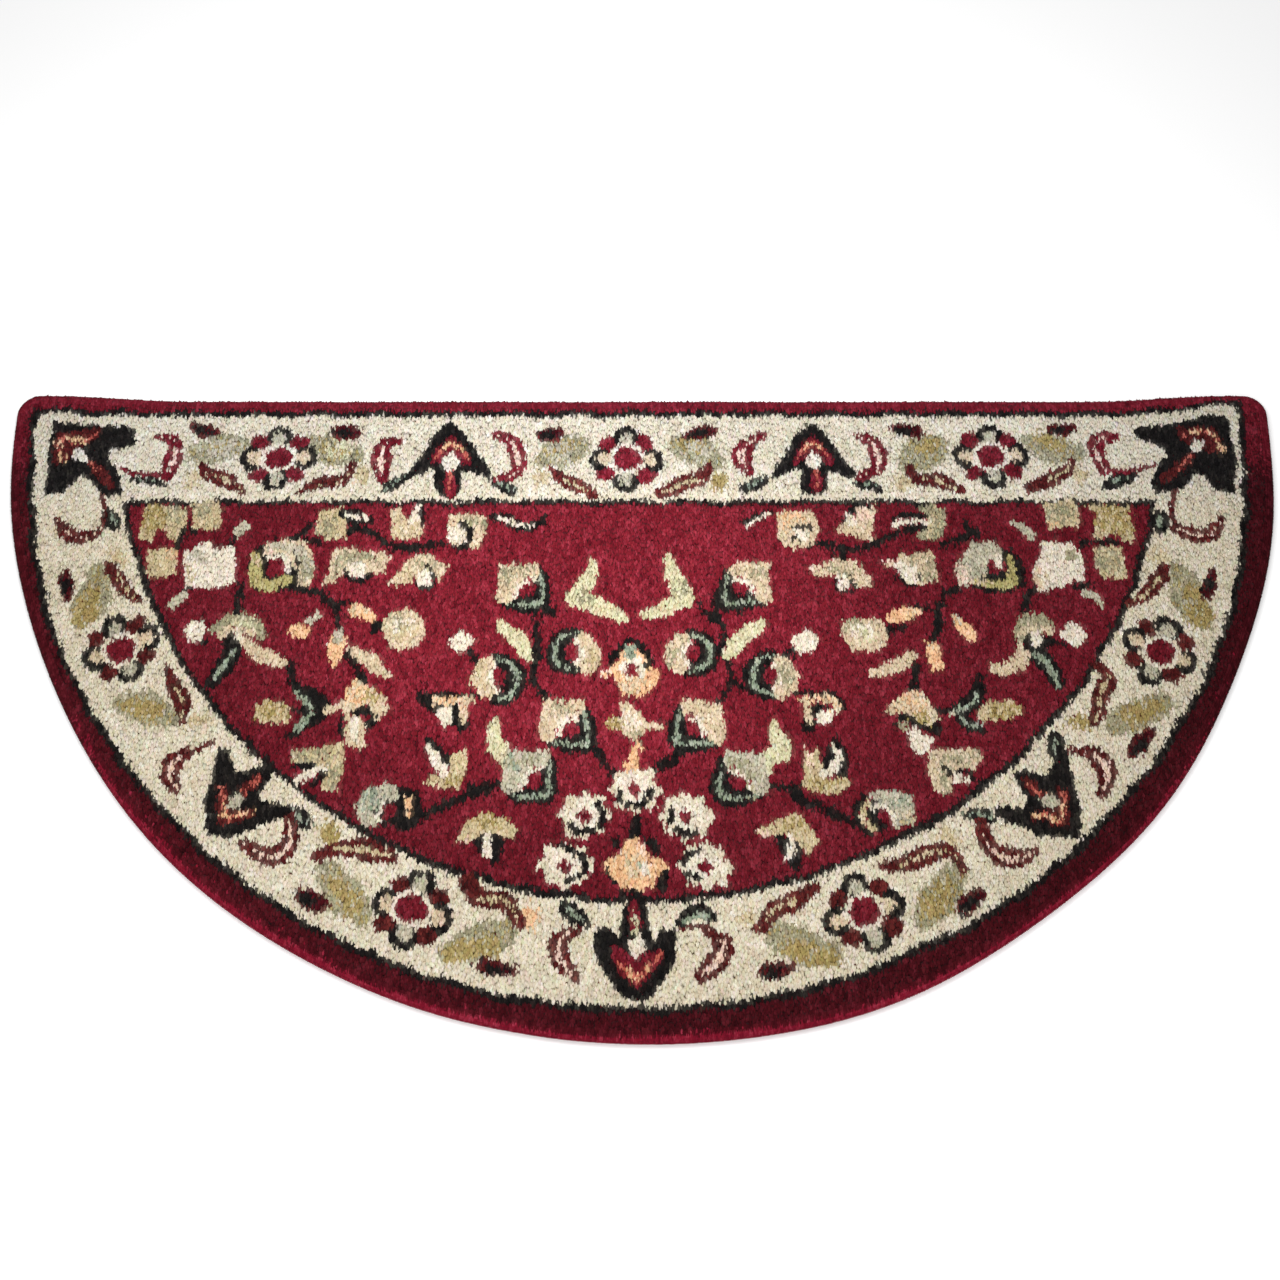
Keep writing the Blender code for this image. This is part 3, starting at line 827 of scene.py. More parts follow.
rightPetals = (
    # the corner, and the pale shapes along the top
    ("tan", [(383, -106), (423, -106), (423, -123), (421, -141), (412, -140), (407, -135), (402, -134),
              (398, -139), (388, -137), (390, -123), (391, -115)]),
    ("tan", [(348, -104), (360, -102), (373, -101), (378, -108), (377, -126), (363, -126), (350, -129)]),
    ("ash", [(318, -123), (325, -126), (336, -135)], (5, 7, 8)),
    ("tan", [(387, -147), (412, -145), (413, -160), (411, -174), (392, -175), (386, -165)]),
    ("white", [(343, -143), (347, -140), (360, -142), (368, -140), (376, -153), (375, -167), (376, -178),
               (353, -181), (345, -185), (336, -187), (333, -176), (332, -163), (342, -154)]),
    ("sage", (366, -152), (12, 12)),
    ("ash", [(373, -191), (382, -191), (388, -199)], (5, 7, 6)),
    ("sage", [(236, -107), (250, -104), (261, -110), (263, -124), (259, -135), (243, -140), (236, -138),
              (243, -128), (245, -116)]),
    ("black", [(217, -120), (228, -116), (246, -116)], (4, 7, 4)),
    ("black", [(222, -131), (234, -130), (245, -126)], (4, 7, 5)),
    ("white", [(218, -125), (226, -122), (247, -122)], (6, 5, 5)),
    ("cream", [(186, -107), (201, -106), (199, -122), (198, -138), (190, -138), (168, -133), (168, -128),
               (175, -121), (184, -120)]),
    ("black", [(174, -121), (178, -114), (184, -110)], 5),
    ("white", (180, -120), (10, 14)),
    ("cream", [(116, -114), (130, -110), (148, -112), (151, -130), (147, -143), (130, -147),
               (118, -142)]),
    ("black", [(131, -127), (138, -126), (144, -128)], 4),
    ("black", [(129, -138), (134, -133), (137, -139)], 4),
    ("white", [(131, -130), (140, -135)], (5, 10)),
    ("black", [(112, -113), (101, -118), (86, -122)], (4, 9, 4)),
    ("white", [(108, -116), (100, -121), (90, -126)], 4),
    # round the corner flower
    ("black", (300, -167), (52, 44)),
    ("black", [(309, -150), (317, -150)], 6),
    ("black", (320, -181), (11, 7)),
    ("ash", [(265, -167), (275, -157), (283, -143), (301, -140), (308, -147), (309, -153), (301, -159),
             (297, -163), (292, -172), (282, -175), (275, -182), (268, -181)]),
    ("straw", [(283, -178), (298, -181), (309, -181), (314, -173), (314, -156)], (5, 7, 9, 9, 7)),
    ("crimson", (303, -164), (15, 14)),
    ("white", [(305, -154), (304, -162)], 6),
    ("cream", [(205, -157), (217, -160), (222, -148), (225, -155), (248, -149), (250, -166), (251, -178),
               (240, -182), (224, -178), (215, -167), (206, -163)]),
    ("black", [(216, -172), (222, -178), (232, -181)], 4),
    ("white", [(220, -165), (230, -172)], (12, 15)),
    ("black", (235, -173), (4, 5)),
    ("black", [(164, -177), (165, -184), (178, -186)], 4),
    ("cream", [(141, -165), (160, -161), (165, -157), (183, -159), (188, -166), (194, -178), (193, -184),
             (181, -184), (177, -175), (163, -173), (148, -174)]),
    ("black", (177, -178), (4, 10)),
    ("white", (170, -178), (11, 14)),
    # middle of the right side
    ("white", (361, -226), (21, 21), 45),
    ("black", [(312, -228), (325, -231), (342, -234)], (7, 14, 9)),
    ("black", [(326, -240), (335, -252), (343, -271)], (15, 15, 10)),
    ("sage", [(311, -230), (312, -218), (319, -209), (331, -207), (341, -213), (347, -227), (335, -225),
              (323, -227), (316, -233)]),
    ("cream", [(314, -226), (324, -221), (342, -223)], (5, 6, 5)),
    ("white", (329, -231), (11, 14)),
    ("mint", [(327, -243), (335, -252), (340, -263), (343, -272)], (4, 5, 5, 3)),
    ("cream", [(315, -233), (323, -242), (322, -252), (315, -259), (300, -262), (290, -260), (290, -253),
               (303, -250), (308, -242)]),
    ("peach", [(263, -212), (268, -220), (274, -228)], (7, 13, 10)),
    ("peach", [(208, -213), (218, -209), (231, -205)], (9, 14, 7)),
    ("peach", (243, -245), (13, 30)),
    ("cream", (185, -226), (41, 31)),
    ("white", (183, -224), (22, 15)),
    ("cream", [(190, -259), (201, -258), (213, -253), (225, -245)], (6, 11, 13, 8)),
    ("white", (136, -232), (21, 19), 45),
    # lower right
    ("tan", [(273, -297), (279, -287), (295, -283), (304, -286), (311, -293), (308, -298), (299, -301),
             (281, -302)]),
    ("black", [(278, -268), (272, -282), (261, -296), (270, -306), (280, -312)], (6, 14, 16, 13, 6)),
    ("mint", [(274, -281), (268, -289), (260, -295)], (4, 5, 4)),
    ("mint", [(261, -302), (270, -306), (279, -305)], (4, 4, 3)),
    ("ash", (254, -296), (6, 4)),
    ("black", [(240, -293), (252, -294)], 5),
    ("black", [(208, -307), (216, -300), (228, -303), (238, -308)], (4, 9, 11, 12)),
    ("cream", [(199, -297), (204, -288), (212, -281), (222, -275), (232, -276), (236, -286), (241, -293),
               (244, -301), (235, -306), (228, -304), (220, -298), (214, -297)]),
    ("sage", (213, -306), (7, 12)),
    ("white", [(214, -311), (222, -306), (227, -313), (236, -316), (233, -326), (227, -331),
               (219, -329)]),
    ("cream", [(231, -341), (234, -326), (251, -325), (270, -327), (274, -333), (268, -343), (257, -341),
               (251, -345), (248, -361), (237, -364), (233, -360)]),
    ("black", [(244, -341), (251, -347)], 3),
    ("black", [(255, -343), (264, -345), (267, -352)], 4),
    ("white", (254, -349), (7, 10)),
    ("white", (261, -351), (6, 7)),
    ("black", [(128, -277), (143, -280), (158, -281), (164, -290)], (4, 4, 6, 7)),
    ("black", [(150, -290), (141, -293), (136, -307)], (4, 8, 12)),
    ("cream", [(132, -285), (145, -284), (155, -285), (159, -291)], 7),
    ("cream", [(135, -289), (138, -303)], 5),
    ("white", [(143, -294), (158, -291), (157, -299), (153, -306), (145, -305)]),
    ("black", [(158, -320), (162, -332), (160, -345)], 9),
    ("black", [(153, -327), (147, -340)], 9),
    ("tan", [(130, -324), (136, -329), (140, -325), (144, -338), (147, -349), (165, -351), (166, -358),
             (160, -363), (146, -363), (128, -357), (131, -346)]),
    ("white", [(155, -323), (159, -331), (155, -340), (147, -346)], (3, 6, 8, 7)),
    ("black", [(189, -367), (184, -380), (190, -390)], (6, 14, 8)),
    ("ash", [(183, -363), (190, -359), (216, -365), (216, -376), (217, -388), (203, -393), (199, -386),
             (200, -377), (190, -372)]),
    ("crimson", (193, -380), (13, 15)),
    ("white", [(184, -374), (194, -374), (199, -381), (200, -388)], 4),
    ("black", [(179, -365), (171, -376), (172, -388), (182, -395)], 5),
    ("tan", [(181, -369), (176, -378), (176, -386), (183, -391)], 4),
    ("black", [(110, -403), (118, -408), (118, -420)], (12, 20, 10)),
    ("tan", [(89, -393), (101, -389), (114, -381), (122, -379), (128, -384), (135, -392), (140, -404),
             (134, -412), (128, -410), (124, -400), (116, -396), (97, -398)]),
    ("white", [(119, -398), (118, -407), (112, -415)], (5, 8, 6)),
    ("leaf", [(107, -303), (109, -316), (112, -326), (104, -335), (92, -343)], (4, 15, 19, 17, 15)),
)

# leaves of the middle sprays
sprays = (
    ("leaf", [(-43, -160), (-45, -175), (-54, -190)], (8, 14, 18)),
    ("leaf", [(-56, -194), (-38, -200), (-18, -212)], (15, 15, 9)),
    ("leaf", [(23, -155), (25, -170), (33, -189)], (8, 14, 17)),
    ("leaf", [(36, -196), (20, -202), (2, -209)], (15, 15, 9)),
    ("leaf", [(-119, -219), (-108, -228), (-98, -240), (-92, -248)], (9, 16, 14, 6)),
    ("leaf", [(100, -218), (88, -224), (78, -235), (71, -246)], (8, 16, 15, 6)),
)

# small flowers in a green cup: where the red heart lies, the turn (0 has the cup below), the kind, and
# the yarn of the cap where it isn't cream
cups = (
    ((-99, -185), 45, "square"), ((85, -185), -45, "square"), ((-59, -308), 45, "square"),
    ((43, -309), -45, "square"),
    ((-88, -351), 45, "square", "ash"), ((77, -352), -45, "square", "ash"),
    ((-57, -243), -90, "round"), ((41, -243), 90, "round"), ((-119, -265), 90, "round"),
    ((106, -264), -90, "round"),
)
# half of the cap, and the run of the cup below it
cupShapes = {
    "square": {
        "cap": [(0, 33), (24, 11), (22, 4), (14, 1), (9, 7), (0, 8)],
        "cup": [(-20, 2), (-12, -8), (-3, -17), (3, -17), (11, -8), (19, 2)],
    },
    "round": {
        "cap": [(0, 24), (9, 21), (17, 14), (19, 6), (11, 1), (0, 5)],
        "cup": [(-18, 3), (-15, -8), (-7, -15), (3, -16), (12, -10), (16, 1)],
    },
}
cupForm = {
    "cupWidths": (9, 13, 15, 15, 13, 9),
    "floor": ((0, -5), (23, 15)),
    "liningWidths": (1, 3.5, 4, 4, 3.5, 2),
    "white": [(-11, 2), (0, 6), (10, 2)],
    "whiteWidths": (4, 9, 4),
    "heart": ((0, -1), (14, 12)),
}


def drawCup(at, turn, kind, cap="cream"):
    spot = near(at, turn)
    cup = cupShapes[kind]["cup"]
    dye(spot, stroke(spot, cup, cupForm["cupWidths"]), "black", blur=0.8)
    dye(spot, oval(spot, *cupForm["floor"]), "black", blur=0.9)
    dye(spot, stroke(spot, cup, cupForm["liningWidths"]), "mint", blur=0.8)
    dye(spot, patch(spot, bothSides(cupShapes[kind]["cap"])), cap, blur=0.7)
    dye(spot, stroke(spot, cupForm["white"], cupForm["whiteWidths"]), "white", blur=1.0)
    dye(spot, oval(spot, *cupForm["heart"]), "crimson", blur=0.7)


# round cream flowers, with the bits of black inside them
daisies = (
    ((-6, -360), [[(-20, -362), (-19, -368)], [(-12, -372), (-5, -374), (3, -371)], [(6, -361),
                  (6, -366)]]),
    ((-46, -381), [[(-36, -372), (-31, -381), (-33, -391)], [(-57, -389), (-46, -393), (-38, -393)]]),
    ((34, -382), [[(23, -377), (21, -388)], [(26, -393), (34, -397), (42, -394)]]),
    ((-61, -421), [[(-62, -404), (-53, -411)], [(-49, -414), (-46, -424), (-53, -431), (-60, -434)]]),
    ((50, -422), [[(46, -409), (38, -414), (33, -420)], [(35, -428), (45, -432)]]),
)
daisyForm = {
    # middle, size and turn of each round, and the number and depth of its lobes
    "petals": ((0, 0), (40, 37), 0, 8, 2.0),
    "white": ((0, 1), (26, 24)),
    "heart": ((0, -1), (10, 11), 0, 4, 1.2),
    "shadowWidth": 5.5,
}


def drawDaisy(at, shadows):
    spot = near(at)
    dye(spot, oval(spot, *daisyForm["petals"]), "ivory", blur=0.9)
    dye(spot, oval(spot, *daisyForm["white"]), "white", blur=1.4)
    dye(spot, oval(spot, *daisyForm["heart"]), "crimson", blur=0.7)
    draw([("black", points, daisyForm["shadowWidth"]) for points in shadows])


centre = (
    # flower over the star
    ("black", [(-27, -255), (-23, -245), (-16, -237), (-8, -233), (0, -239),
               (9, -253)], (5, 7, 5, 4, 7, 5)),
    ("peach", [(-8, -235), (-16, -241), (-19, -250), (-27, -254), (-38, -258), (-36, -263), (-25, -264),
               (-17, -280), (-1, -281), (13, -267), (16, -259), (6, -255), (4, -247)]),
    ("mint", (-9, -242), (12, 13)),
    ("white", (-8, -257), (24, 19), 20),
    ("crimson", (-9, -259), (8, 13)),
    ("black", (4, -254), (4, 6)),
    # the star
    ("cream", [(-19, -288), (-11, -286), (-3, -294), (7, -304), (20, -305), (19, -308), (4, -310),
               (-3, -318), (-8, -322), (-18, -310), (-30, -309), (-33, -304), (-24, -299), (-16, -299)]),
    ("peach", [(-7, -320), (-2, -324)], (4, 6)),
    ("peach", [(-7, -327), (-8, -341)], (5, 11)),
    # peach flower at the front
    ("black", (-21, -404), (7, 11)),
    ("black", [(6, -401), (12, -409)], 6),
    ("black", [(-5, -385), (-6, -399)], 7),
    ("black", [(-27, -427), (-18, -435)], 6),
    ("black", [(17, -425), (15, -437)], 8),
    ("peach", [(-13, -401), (-3, -399), (3, -404), (7, -413), (18, -416), (20, -423), (13, -430),
               (9, -437), (-2, -443), (-12, -440), (-20, -435), (-30, -424), (-29, -416), (-19, -414),
               (-16, -407)]),
    ("white", (1, -423), (11, 13)),
    ("cream", (-8, -427), (11, 12)),
    ("mint", (-3, -420), (3, 7)),
    ("black", [(-16, -442), (-4, -444)], 4),
)

# a breath of another yarn inside the pale shapes: yarn, place and size
breaths = (
    ("gold", (-423, -118), (20, 22)), ("sage", (-402, -116), (14, 18)), ("sage", (-384, -110), (16, 14)),
    ("peach", (-404, -153), (9, 8)), ("tan", (-387, -170), (8, 12)), ("sage", (-271, -127), (14, 14)),
    ("tan", (-205, -128), (24, 14)), ("sage", (-143, -121), (18, 12)), ("pink", (-321, -149), (8, 8)),
    ("sage", (-288, -166), (14, 16)), ("cream", (-329, -157), (10, 8)), ("sage", (-252, -158), (26, 10)),
    ("tan", (-203, -173), (12, 12)), ("sage", (-188, -163), (14, 6)), ("leaf", (-336, -214), (16, 6)),
    ("cream", (-241, -204), (12, 9)),
    ("tan", (-200, -222), (16, 14)), ("sage", (-206, -211), (12, 8)), ("gold", (-302, -294), (20, 12)),
    ("peach", (-234, -280), (24, 16)), ("peach", (-156, -285), (22, 8)), ("peach", (144, -284), (20, 8)),
    ("gold", (-224, -280), (10, 10)), ("sage", (-269, -331), (26, 10)), ("ash", (-370, -51), (30, 20)),
    ("leaf", (-266, -53), (24, 16)), ("ash", (-72, -54), (20, 14)), ("ash", (48, -53), (20, 14)),
    ("sage", (-250, -348), (10, 18)), ("gold", (-152, -352), (14, 8)), ("pink", (-141, -401), (10, 8)),
    ("pink", (2, -408), (10, 8)), ("cream", (-10, -418), (14, 10)),
    ("gold", (-122, -385), (18, 8)), ("sage", (-109, -336), (12, 10)), ("mint", (-218, -366), (12, 18)),
    ("gold", (408, -119), (30, 26)), ("sage", (362, -114), (24, 16)), ("peach", (355, -125), (10, 6)),
    ("sage", (398, -160), (20, 20)), ("tan", (252, -124), (12, 24)), ("pink", (192, -116), (12, 14)),
    ("peach", (128, -120), (16, 13)), ("sage", (244, -167), (10, 20)), ("sage", (229, -157), (14, 7)),
    ("pink", (208, -160), (10, 8)), ("sage", (171, -165), (16, 8)), ("pink", (146, -168), (12, 9)),
    ("pink", (272, -170), (12, 14)), ("cream", (290, -178), (12, 8)), ("sage", (330, -214), (18, 8)),
    ("cream", (336, -176), (10, 14)), ("ash", (264, -213), (7, 8)), ("cream", (228, -206), (10, 8)),
    ("ash", (243, -233), (9, 9)), ("ash", (-255, -227), (9, 9)), ("leaf", (185, -227), (16, 12)),
    ("sage", (178, -216), (14, 8)), ("gold", (294, -293), (20, 11)), ("gold", (228, -297), (14, 12)),
    ("peach", (218, -286), (24, 14)), ("sage", (256, -333), (22, 8)), ("sage", (243, -351), (8, 16)),
    ("gold", (143, -354), (24, 8)), ("pink", (134, -333), (8, 14)), ("pink", (93, -394), (10, 6)),
    ("gold", (122, -387), (16, 10)), ("mint", (208, -370), (14, 10)), ("tan", (210, -384), (10, 12)),
    ("mint", (-104, -337), (10, 12)), ("sage", (-94, -336), (16, 9)), ("sage", (80, -337), (18, 9)),
    ("sage", (88, -352), (8, 14)), ("sage", (-115, -170), (10, 16)), ("sage", (-98, -167), (12, 8)),
    ("sage", (100, -168), (12, 12)), ("tan", (-41, -243), (8, 20)), ("sage", (28, -244), (9, 16)),
    ("tan", (-135, -263), (10, 16)), ("sage", (116, -262), (10, 16)), ("sage", (-66, -290), (14, 8)),
    ("sage", (-50, -190), (16, 12)), ("sage", (32, -187), (12, 14)), ("gold", (-24, -305), (16, 9)),
    ("sage", (-7, -315), (12, 10)), ("white", (-8, -302), (12, 14)), ("cream", (-10, -271), (22, 12)),
    ("pink", (-32, -259), (10, 8)), ("tan", (-35, -205), (14, 8)), ("tan", (20, -204), (14, 8)),
)


def drawField():
    for where, size in vines:
        if isinstance(where, list):
            draw([("black", where, np.add(size, vineForm["more"]))], vineForm["blur"])
        else:
            draw([("black", where, size)])
    draw(sprays)
    draw(leftPetals)
    draw(rightPetals)
    for row in cups:
        drawCup(*row)
    for row in daisies:
        drawDaisy(*row)
    draw(centre)
    for row in breaths:
        breathe(*row)


pile = {
    "column": 1.75,  # yarn ends stand this far apart across the rug
    "row": 2.25,  # and this far apart from back to front
    "halfWidth": 570.0,  # the rows and columns are laid out over this much
    "depth": 575.0,
    "jitter": 0.35,
    "length": 3.4,
    "footAcross": 2.2,
    "footAlong": 4.2,
    "footLow": 0.5,  # no foot's middle is lower than this, and no corner of it lower than the next
    "cornerLow": 0.3,
    "swell": (0.85, 1.15),
    "sides": 4,
    "lean": 0.25,  # towards the front, as a share of the length
    "leanSpread": (0.08, 0.30, 0.08),
    "mostSpread": 2.2,
    "sunk": 0.1,  # the tips lie this far below the clipped height, as a mean
    "uneven": 0.16,
    "mostProud": 0.9,
    "overlap": 0.3,  # the rows and columns start this far before the end of the roll
    "bedProfile": ((3.8, 2.0), (3.6, 4.2), (4.6, 6.0), (6.6, 7.0), (10.0, 8.1)),
    "mostInPiece": 32000,  # yarn ends in one mesh
}
rim = {
    # the rolled edge is covered in rings of yarn ends, from the floor up
    "first": 1.6,
    "last": 0.8,  # this far before the end of the roll
    "row": 1.7,
    "column": 1.4,
    "slopeStep": 0.6,
    "lowestAim": -0.1,  # none points further down
    "loose": 0.2,  # they stand more evenly than the rest
    "topGain": 1.5,  # from none of the lean on the side of the roll to all of it on its top
    "topLoss": 0.4,
}


def rimEnds():
    # where each tip is, how high, and which way it points
    profile = np.array(rugForm["edge"])
    walked = np.concatenate([[0], np.cumsum(np.hypot(*np.diff(profile, axis=0).T))])
    spots, heights, aims = [], [], []
    for stop in np.arange(rim["first"], walked[-1] - rim["last"], rim["row"]):
        stops = (stop, stop + rim["slopeStep"], stop - rim["slopeStep"])
        insets, levels = (np.interp(stops, walked, profile[:, k]) for k in (0, 1))
        inwards, upwards = insets[1] - insets[2], levels[1] - levels[2]
        rise = math.hypot(inwards, upwards)
        ring, outward = outlineRing(insets[0], rim["column"])
        spots.append(ring)
        heights.append(np.full(len(ring), levels[0]))
        up = np.full(len(ring), max(inwards / rise, rim["lowestAim"]))
        aims.append(np.concatenate([outward * (upwards / rise), up[:, None]], 1))
    return np.concatenate(spots), np.concatenate(heights), np.concatenate(aims)


def innerEnds():
    rows = np.arange(-pile["depth"], 0.0, pile["row"])
    columns = np.arange(-pile["halfWidth"], pile["halfWidth"], pile["column"])
    x, y = np.meshgrid(columns, rows)
    x = x + (np.arange(len(rows)) % 2)[:, None] * pile["column"] / 2
    spots = np.stack([x.ravel(), y.ravel()], 1)
    inset = rugForm["edge"][-1][0] - pile["overlap"]
    cornerX, cornerY, corner, side = cornerOf(inset)
    toCorner = np.stack([np.abs(spots[:, 0]) - cornerX, spots[:, 1] - cornerY], 1)
    turn = np.arctan2(toCorner[:, 1], toCorner[:, 0])
    inCorner = (turn > side) & (turn < math.pi / 2)
    keep = (spots[:, 1] < -inset) & (np.hypot(*spots.T) < rugForm["radius"] - inset)
    keep &= ~inCorner | (np.hypot(*toCorner.T) < corner)
    spots = settle(spots[keep])
    heights = np.full(len(spots), rugForm["pileTop"])
    aims = np.tile([0.0, 0.0, 1.0], (len(spots), 1))
    return spots, heights, aims


def yarnEnds():
    # where each yarn end's tip is, and which way it points
    outer, inner = rimEnds(), innerEnds()
    spots, heights, aims = (np.concatenate(pair) for pair in zip(outer, inner))
    loose = np.repeat([rim["loose"], 1.0], [len(outer[0]), len(inner[0])])
    count = len(spots)
    onTop = smoothStep(aims[:, 2] * rim["topGain"] - rim["topLoss"])
    spots = spots + dice.normal(0, pile["jitter"], (count, 2)) * loose[:, None]
    sunk = loose * dice.normal(-pile["sunk"], pile["uneven"], count)
    heights = heights + onTop * (clipHeight(spots) + sunk)
    heights = np.minimum(heights, rugForm["pileTop"] + pile["mostProud"])
    tips = np.stack([spots[:, 0], spots[:, 1], heights], 1)
    lean = np.clip(dice.normal(0, 1, (count, 3)), -pile["mostSpread"], pile["mostSpread"])
    lean *= pile["leanSpread"]
    lean *= loose[:, None]
    lean[:, 1] -= pile["lean"] * onTop
    aims = aims + lean
    aims /= np.linalg.norm(aims, axis=1)[:, None]
    return tips, aims


def linear(colour):
    # from sRGB to what the shaders take
    share = np.array(colour) / 255
    return np.where(share <= 0.04045, share / 12.92, ((share + 0.055) / 1.055) ** 2.4)


shading = {
    "speckle": 0.22,  # how much each yarn end's own tone, the streaks and the slow clouds change
    "streak": 0.28,
    "cloud": 0.08,
    "streakWidth": 2.3,
    "streakLength": 5.5,
    "streakSway": (2.0, 1.7),  # so that they end at uneven places
    "streakLevel": 2,  # a streak ends after so many mm of height, and the next is this many tones on
    "nextStreak": 7,
    "streakTones": (701, 211),  # tones drawn for the streaks, across and along
    "clouds": (61, 1.3, 47, 38),  # run across, how far it bends and over what run, and run along
    # painted shade: the wool is darker away from the middle, the red wool above all, and the plain band on
    # the right
    "middle": (-55, -210),
    "reach": (330, 230),
    "shadeFrom": 0.45,
    "shadeOver": 0.5,
    "redShade": 0.34,
    "otherShade": 0.05,
    "bandShade": 0.1,
    "halfBand": 560,  # the band gains painted shade towards the right, all of it this far out, and loses as much towards the left
    # and less painted shade on the red wool in the plain band along the back
    "backBand": -14,
    "backShade": 0.2,
    # it is a little cooler along the back
    "cooler": (0.0, 0.03, 0.1),
    "coolerFrom": -120,
    "coolerOver": 40,
    "grain": 0.035,
    # neighbours rub off on one another over so many mm, so that no shape is cut out quite sharply
    "mingle": 4.5,
    "mingleShare": 0.09,
}


def mingled(roots, colours):
    cells = np.floor((roots - roots.min(0)) / shading["mingle"]).astype(int)
    cells = cells[:, 0] * (cells[:, 1].max() + 1) + cells[:, 1]
    count = np.maximum(np.bincount(cells), 1)
    means = np.stack([np.bincount(cells, colours[:, k]) / count for k in range(3)], 1)
    return colours * (1 - shading["mingleShare"]) + means[cells] * shading["mingleShare"]


def woolTones(x, y, heights):
    # mottled wool, with short streaks along the pile: from -1 for the dull dye to 1 for the bright one
    streaks = dice.normal(0, 1, shading["streakTones"])
    sway, turn = shading["streakSway"]
    across = np.floor(x / shading["streakWidth"]).astype(int)
    along = np.floor(y / shading["streakLength"] + sway * np.sin(across * turn))
    along = (along + shading["nextStreak"] * np.floor(heights / shading["streakLevel"])).astype(int)
    wide, bent, bends, deep = shading["clouds"]
    clouds = np.sin(x / wide + bent * np.sin(y / bends)) * np.sin(y / deep)
    tone = dice.normal(0, shading["speckle"], len(x))
    tone = tone + shading["streak"] * streaks[across % len(streaks), along % len(streaks[0])]
    return np.clip(tone + shading["cloud"] * clouds, -1, 1)


def dyeAndPaintedShade(roots, heights):
    # each yarn end's colour: its dye, with painted shade laid over it
    dull, usual, bright = (linear([yarns[name][k] for name in yarnNames])[chart["yarn"]] for k in range(3))
    x, y = roots[:, 0], roots[:, 1]
    tone = woolTones(x, y, heights)[:, None]
    colours = np.where(tone < 0, usual + (usual - dull) * tone, usual + (bright - usual) * tone)
    # painted shade: darker away from the middle of the rug, the reds most
    far = np.hypot(*((roots - shading["middle"]) / shading["reach"]).T)
    far = smoothStep((far - shading["shadeFrom"]) / shading["shadeOver"])
    red = dyedWith(redYarns)
    paintedShade = np.where(red, shading["redShade"], shading["otherShade"])
    # painted shade: the plain band is darker to the right and lighter to the left
    paintedShade = paintedShade + dyedWith(["wineAndBandShade"]) * shading["bandShade"] * x / shading["halfBand"]
    paintedShade[red & (y > shading["backBand"])] = shading["backShade"]
    colours *= 1 - (paintedShade * far)[:, None]
    atBack = smoothStep((y - shading["coolerFrom"]) / shading["coolerOver"])
    colours *= 1 + np.array(shading["cooler"]) * atBack[:, None]
    colours = mingled(roots, mingled(roots + 0.5 * shading["mingle"], colours))
    return np.clip(colours * dice.normal(1, shading["grain"], (len(roots), 3)), 0, 1)


def conePoints(tips, aims):
    # four corners of each yarn end's foot, sunk in the bed of the pile, and its tip
    count, sides = len(tips), pile["sides"]
    feet = tips - aims * pile["length"]
    feet[:, 2] = np.maximum(feet[:, 2], pile["footLow"])
    sideways = np.tile([1.0, 0.0, 0.0], (count, 1))
    sideways[np.abs(aims[:, 0]) > 0.8] = (0.0, 1.0, 0.0)  # so that it never lies along the aim
    along = np.cross(aims, sideways)
    along /= np.linalg.norm(along, axis=1)[:, None]
    across = np.cross(along, aims)
    turn = dice.uniform(0, 2 * math.pi, count)[:, None] + np.arange(sides) * 2 * math.pi / sides
    swell = dice.uniform(*pile["swell"], (count, 1))
    ring = feet[:, None, :] + (swell * pile["footAcross"] * np.cos(turn))[:, :, None] * across[:, None, :]
    ring = ring + (swell * pile["footAlong"] * np.sin(turn))[:, :, None] * along[:, None, :]
    ring[:, :, 2] = np.maximum(ring[:, :, 2], pile["cornerLow"])
    points = np.concatenate([ring, tips[:, None, :]], 1).reshape(-1, 3)
    return placed(points[:, :2], points[:, 2])


def addAttribute(mesh, name, kind, domain, field, values):
    attribute = mesh.attributes.new(name, kind, domain)
    attribute.data.foreach_set(field, values)


bakeCell = {
    # in shares of a cone's cell in the baked picture
    "spoke": 0.46,
    "footAt": 0.08,
    "footShare": 0.12,
}


def layOutBake(mesh, count):
    # every cone has a cell of its own, seen from its tip, with its foot in a corner of the cell
    side = np.arange(pile["sides"])
    perRow = math.ceil(math.sqrt(count))
    turn = side * 2 * math.pi / len(side)
    spokes = 0.5 + bakeCell["spoke"] * np.stack([np.cos(turn), np.sin(turn)], 1)
    footSpokes = bakeCell["footAt"] + (spokes - 0.5) * bakeCell["footShare"]
    sideCells = np.stack([spokes, np.roll(spokes, -1, 0), np.full((len(side), 2), 0.5)], 1).reshape(-1, 2)
    cell = np.concatenate([sideCells, footSpokes[::-1]])
    origin = np.stack([np.arange(count) % perRow, np.arange(count) // perRow], 1)
    layout = mesh.uv_layers.new(name="OFBake")
    layout.uv.foreach_set("vector", ((origin[:, None, :] + cell) / perRow).astype(np.float32).ravel())


def linkPiece(name, mesh, material):
    mesh.materials.append(material)
    piece = bpy.data.objects.new(name, mesh)
    bpy.context.scene.collection.objects.link(piece)
    return piece


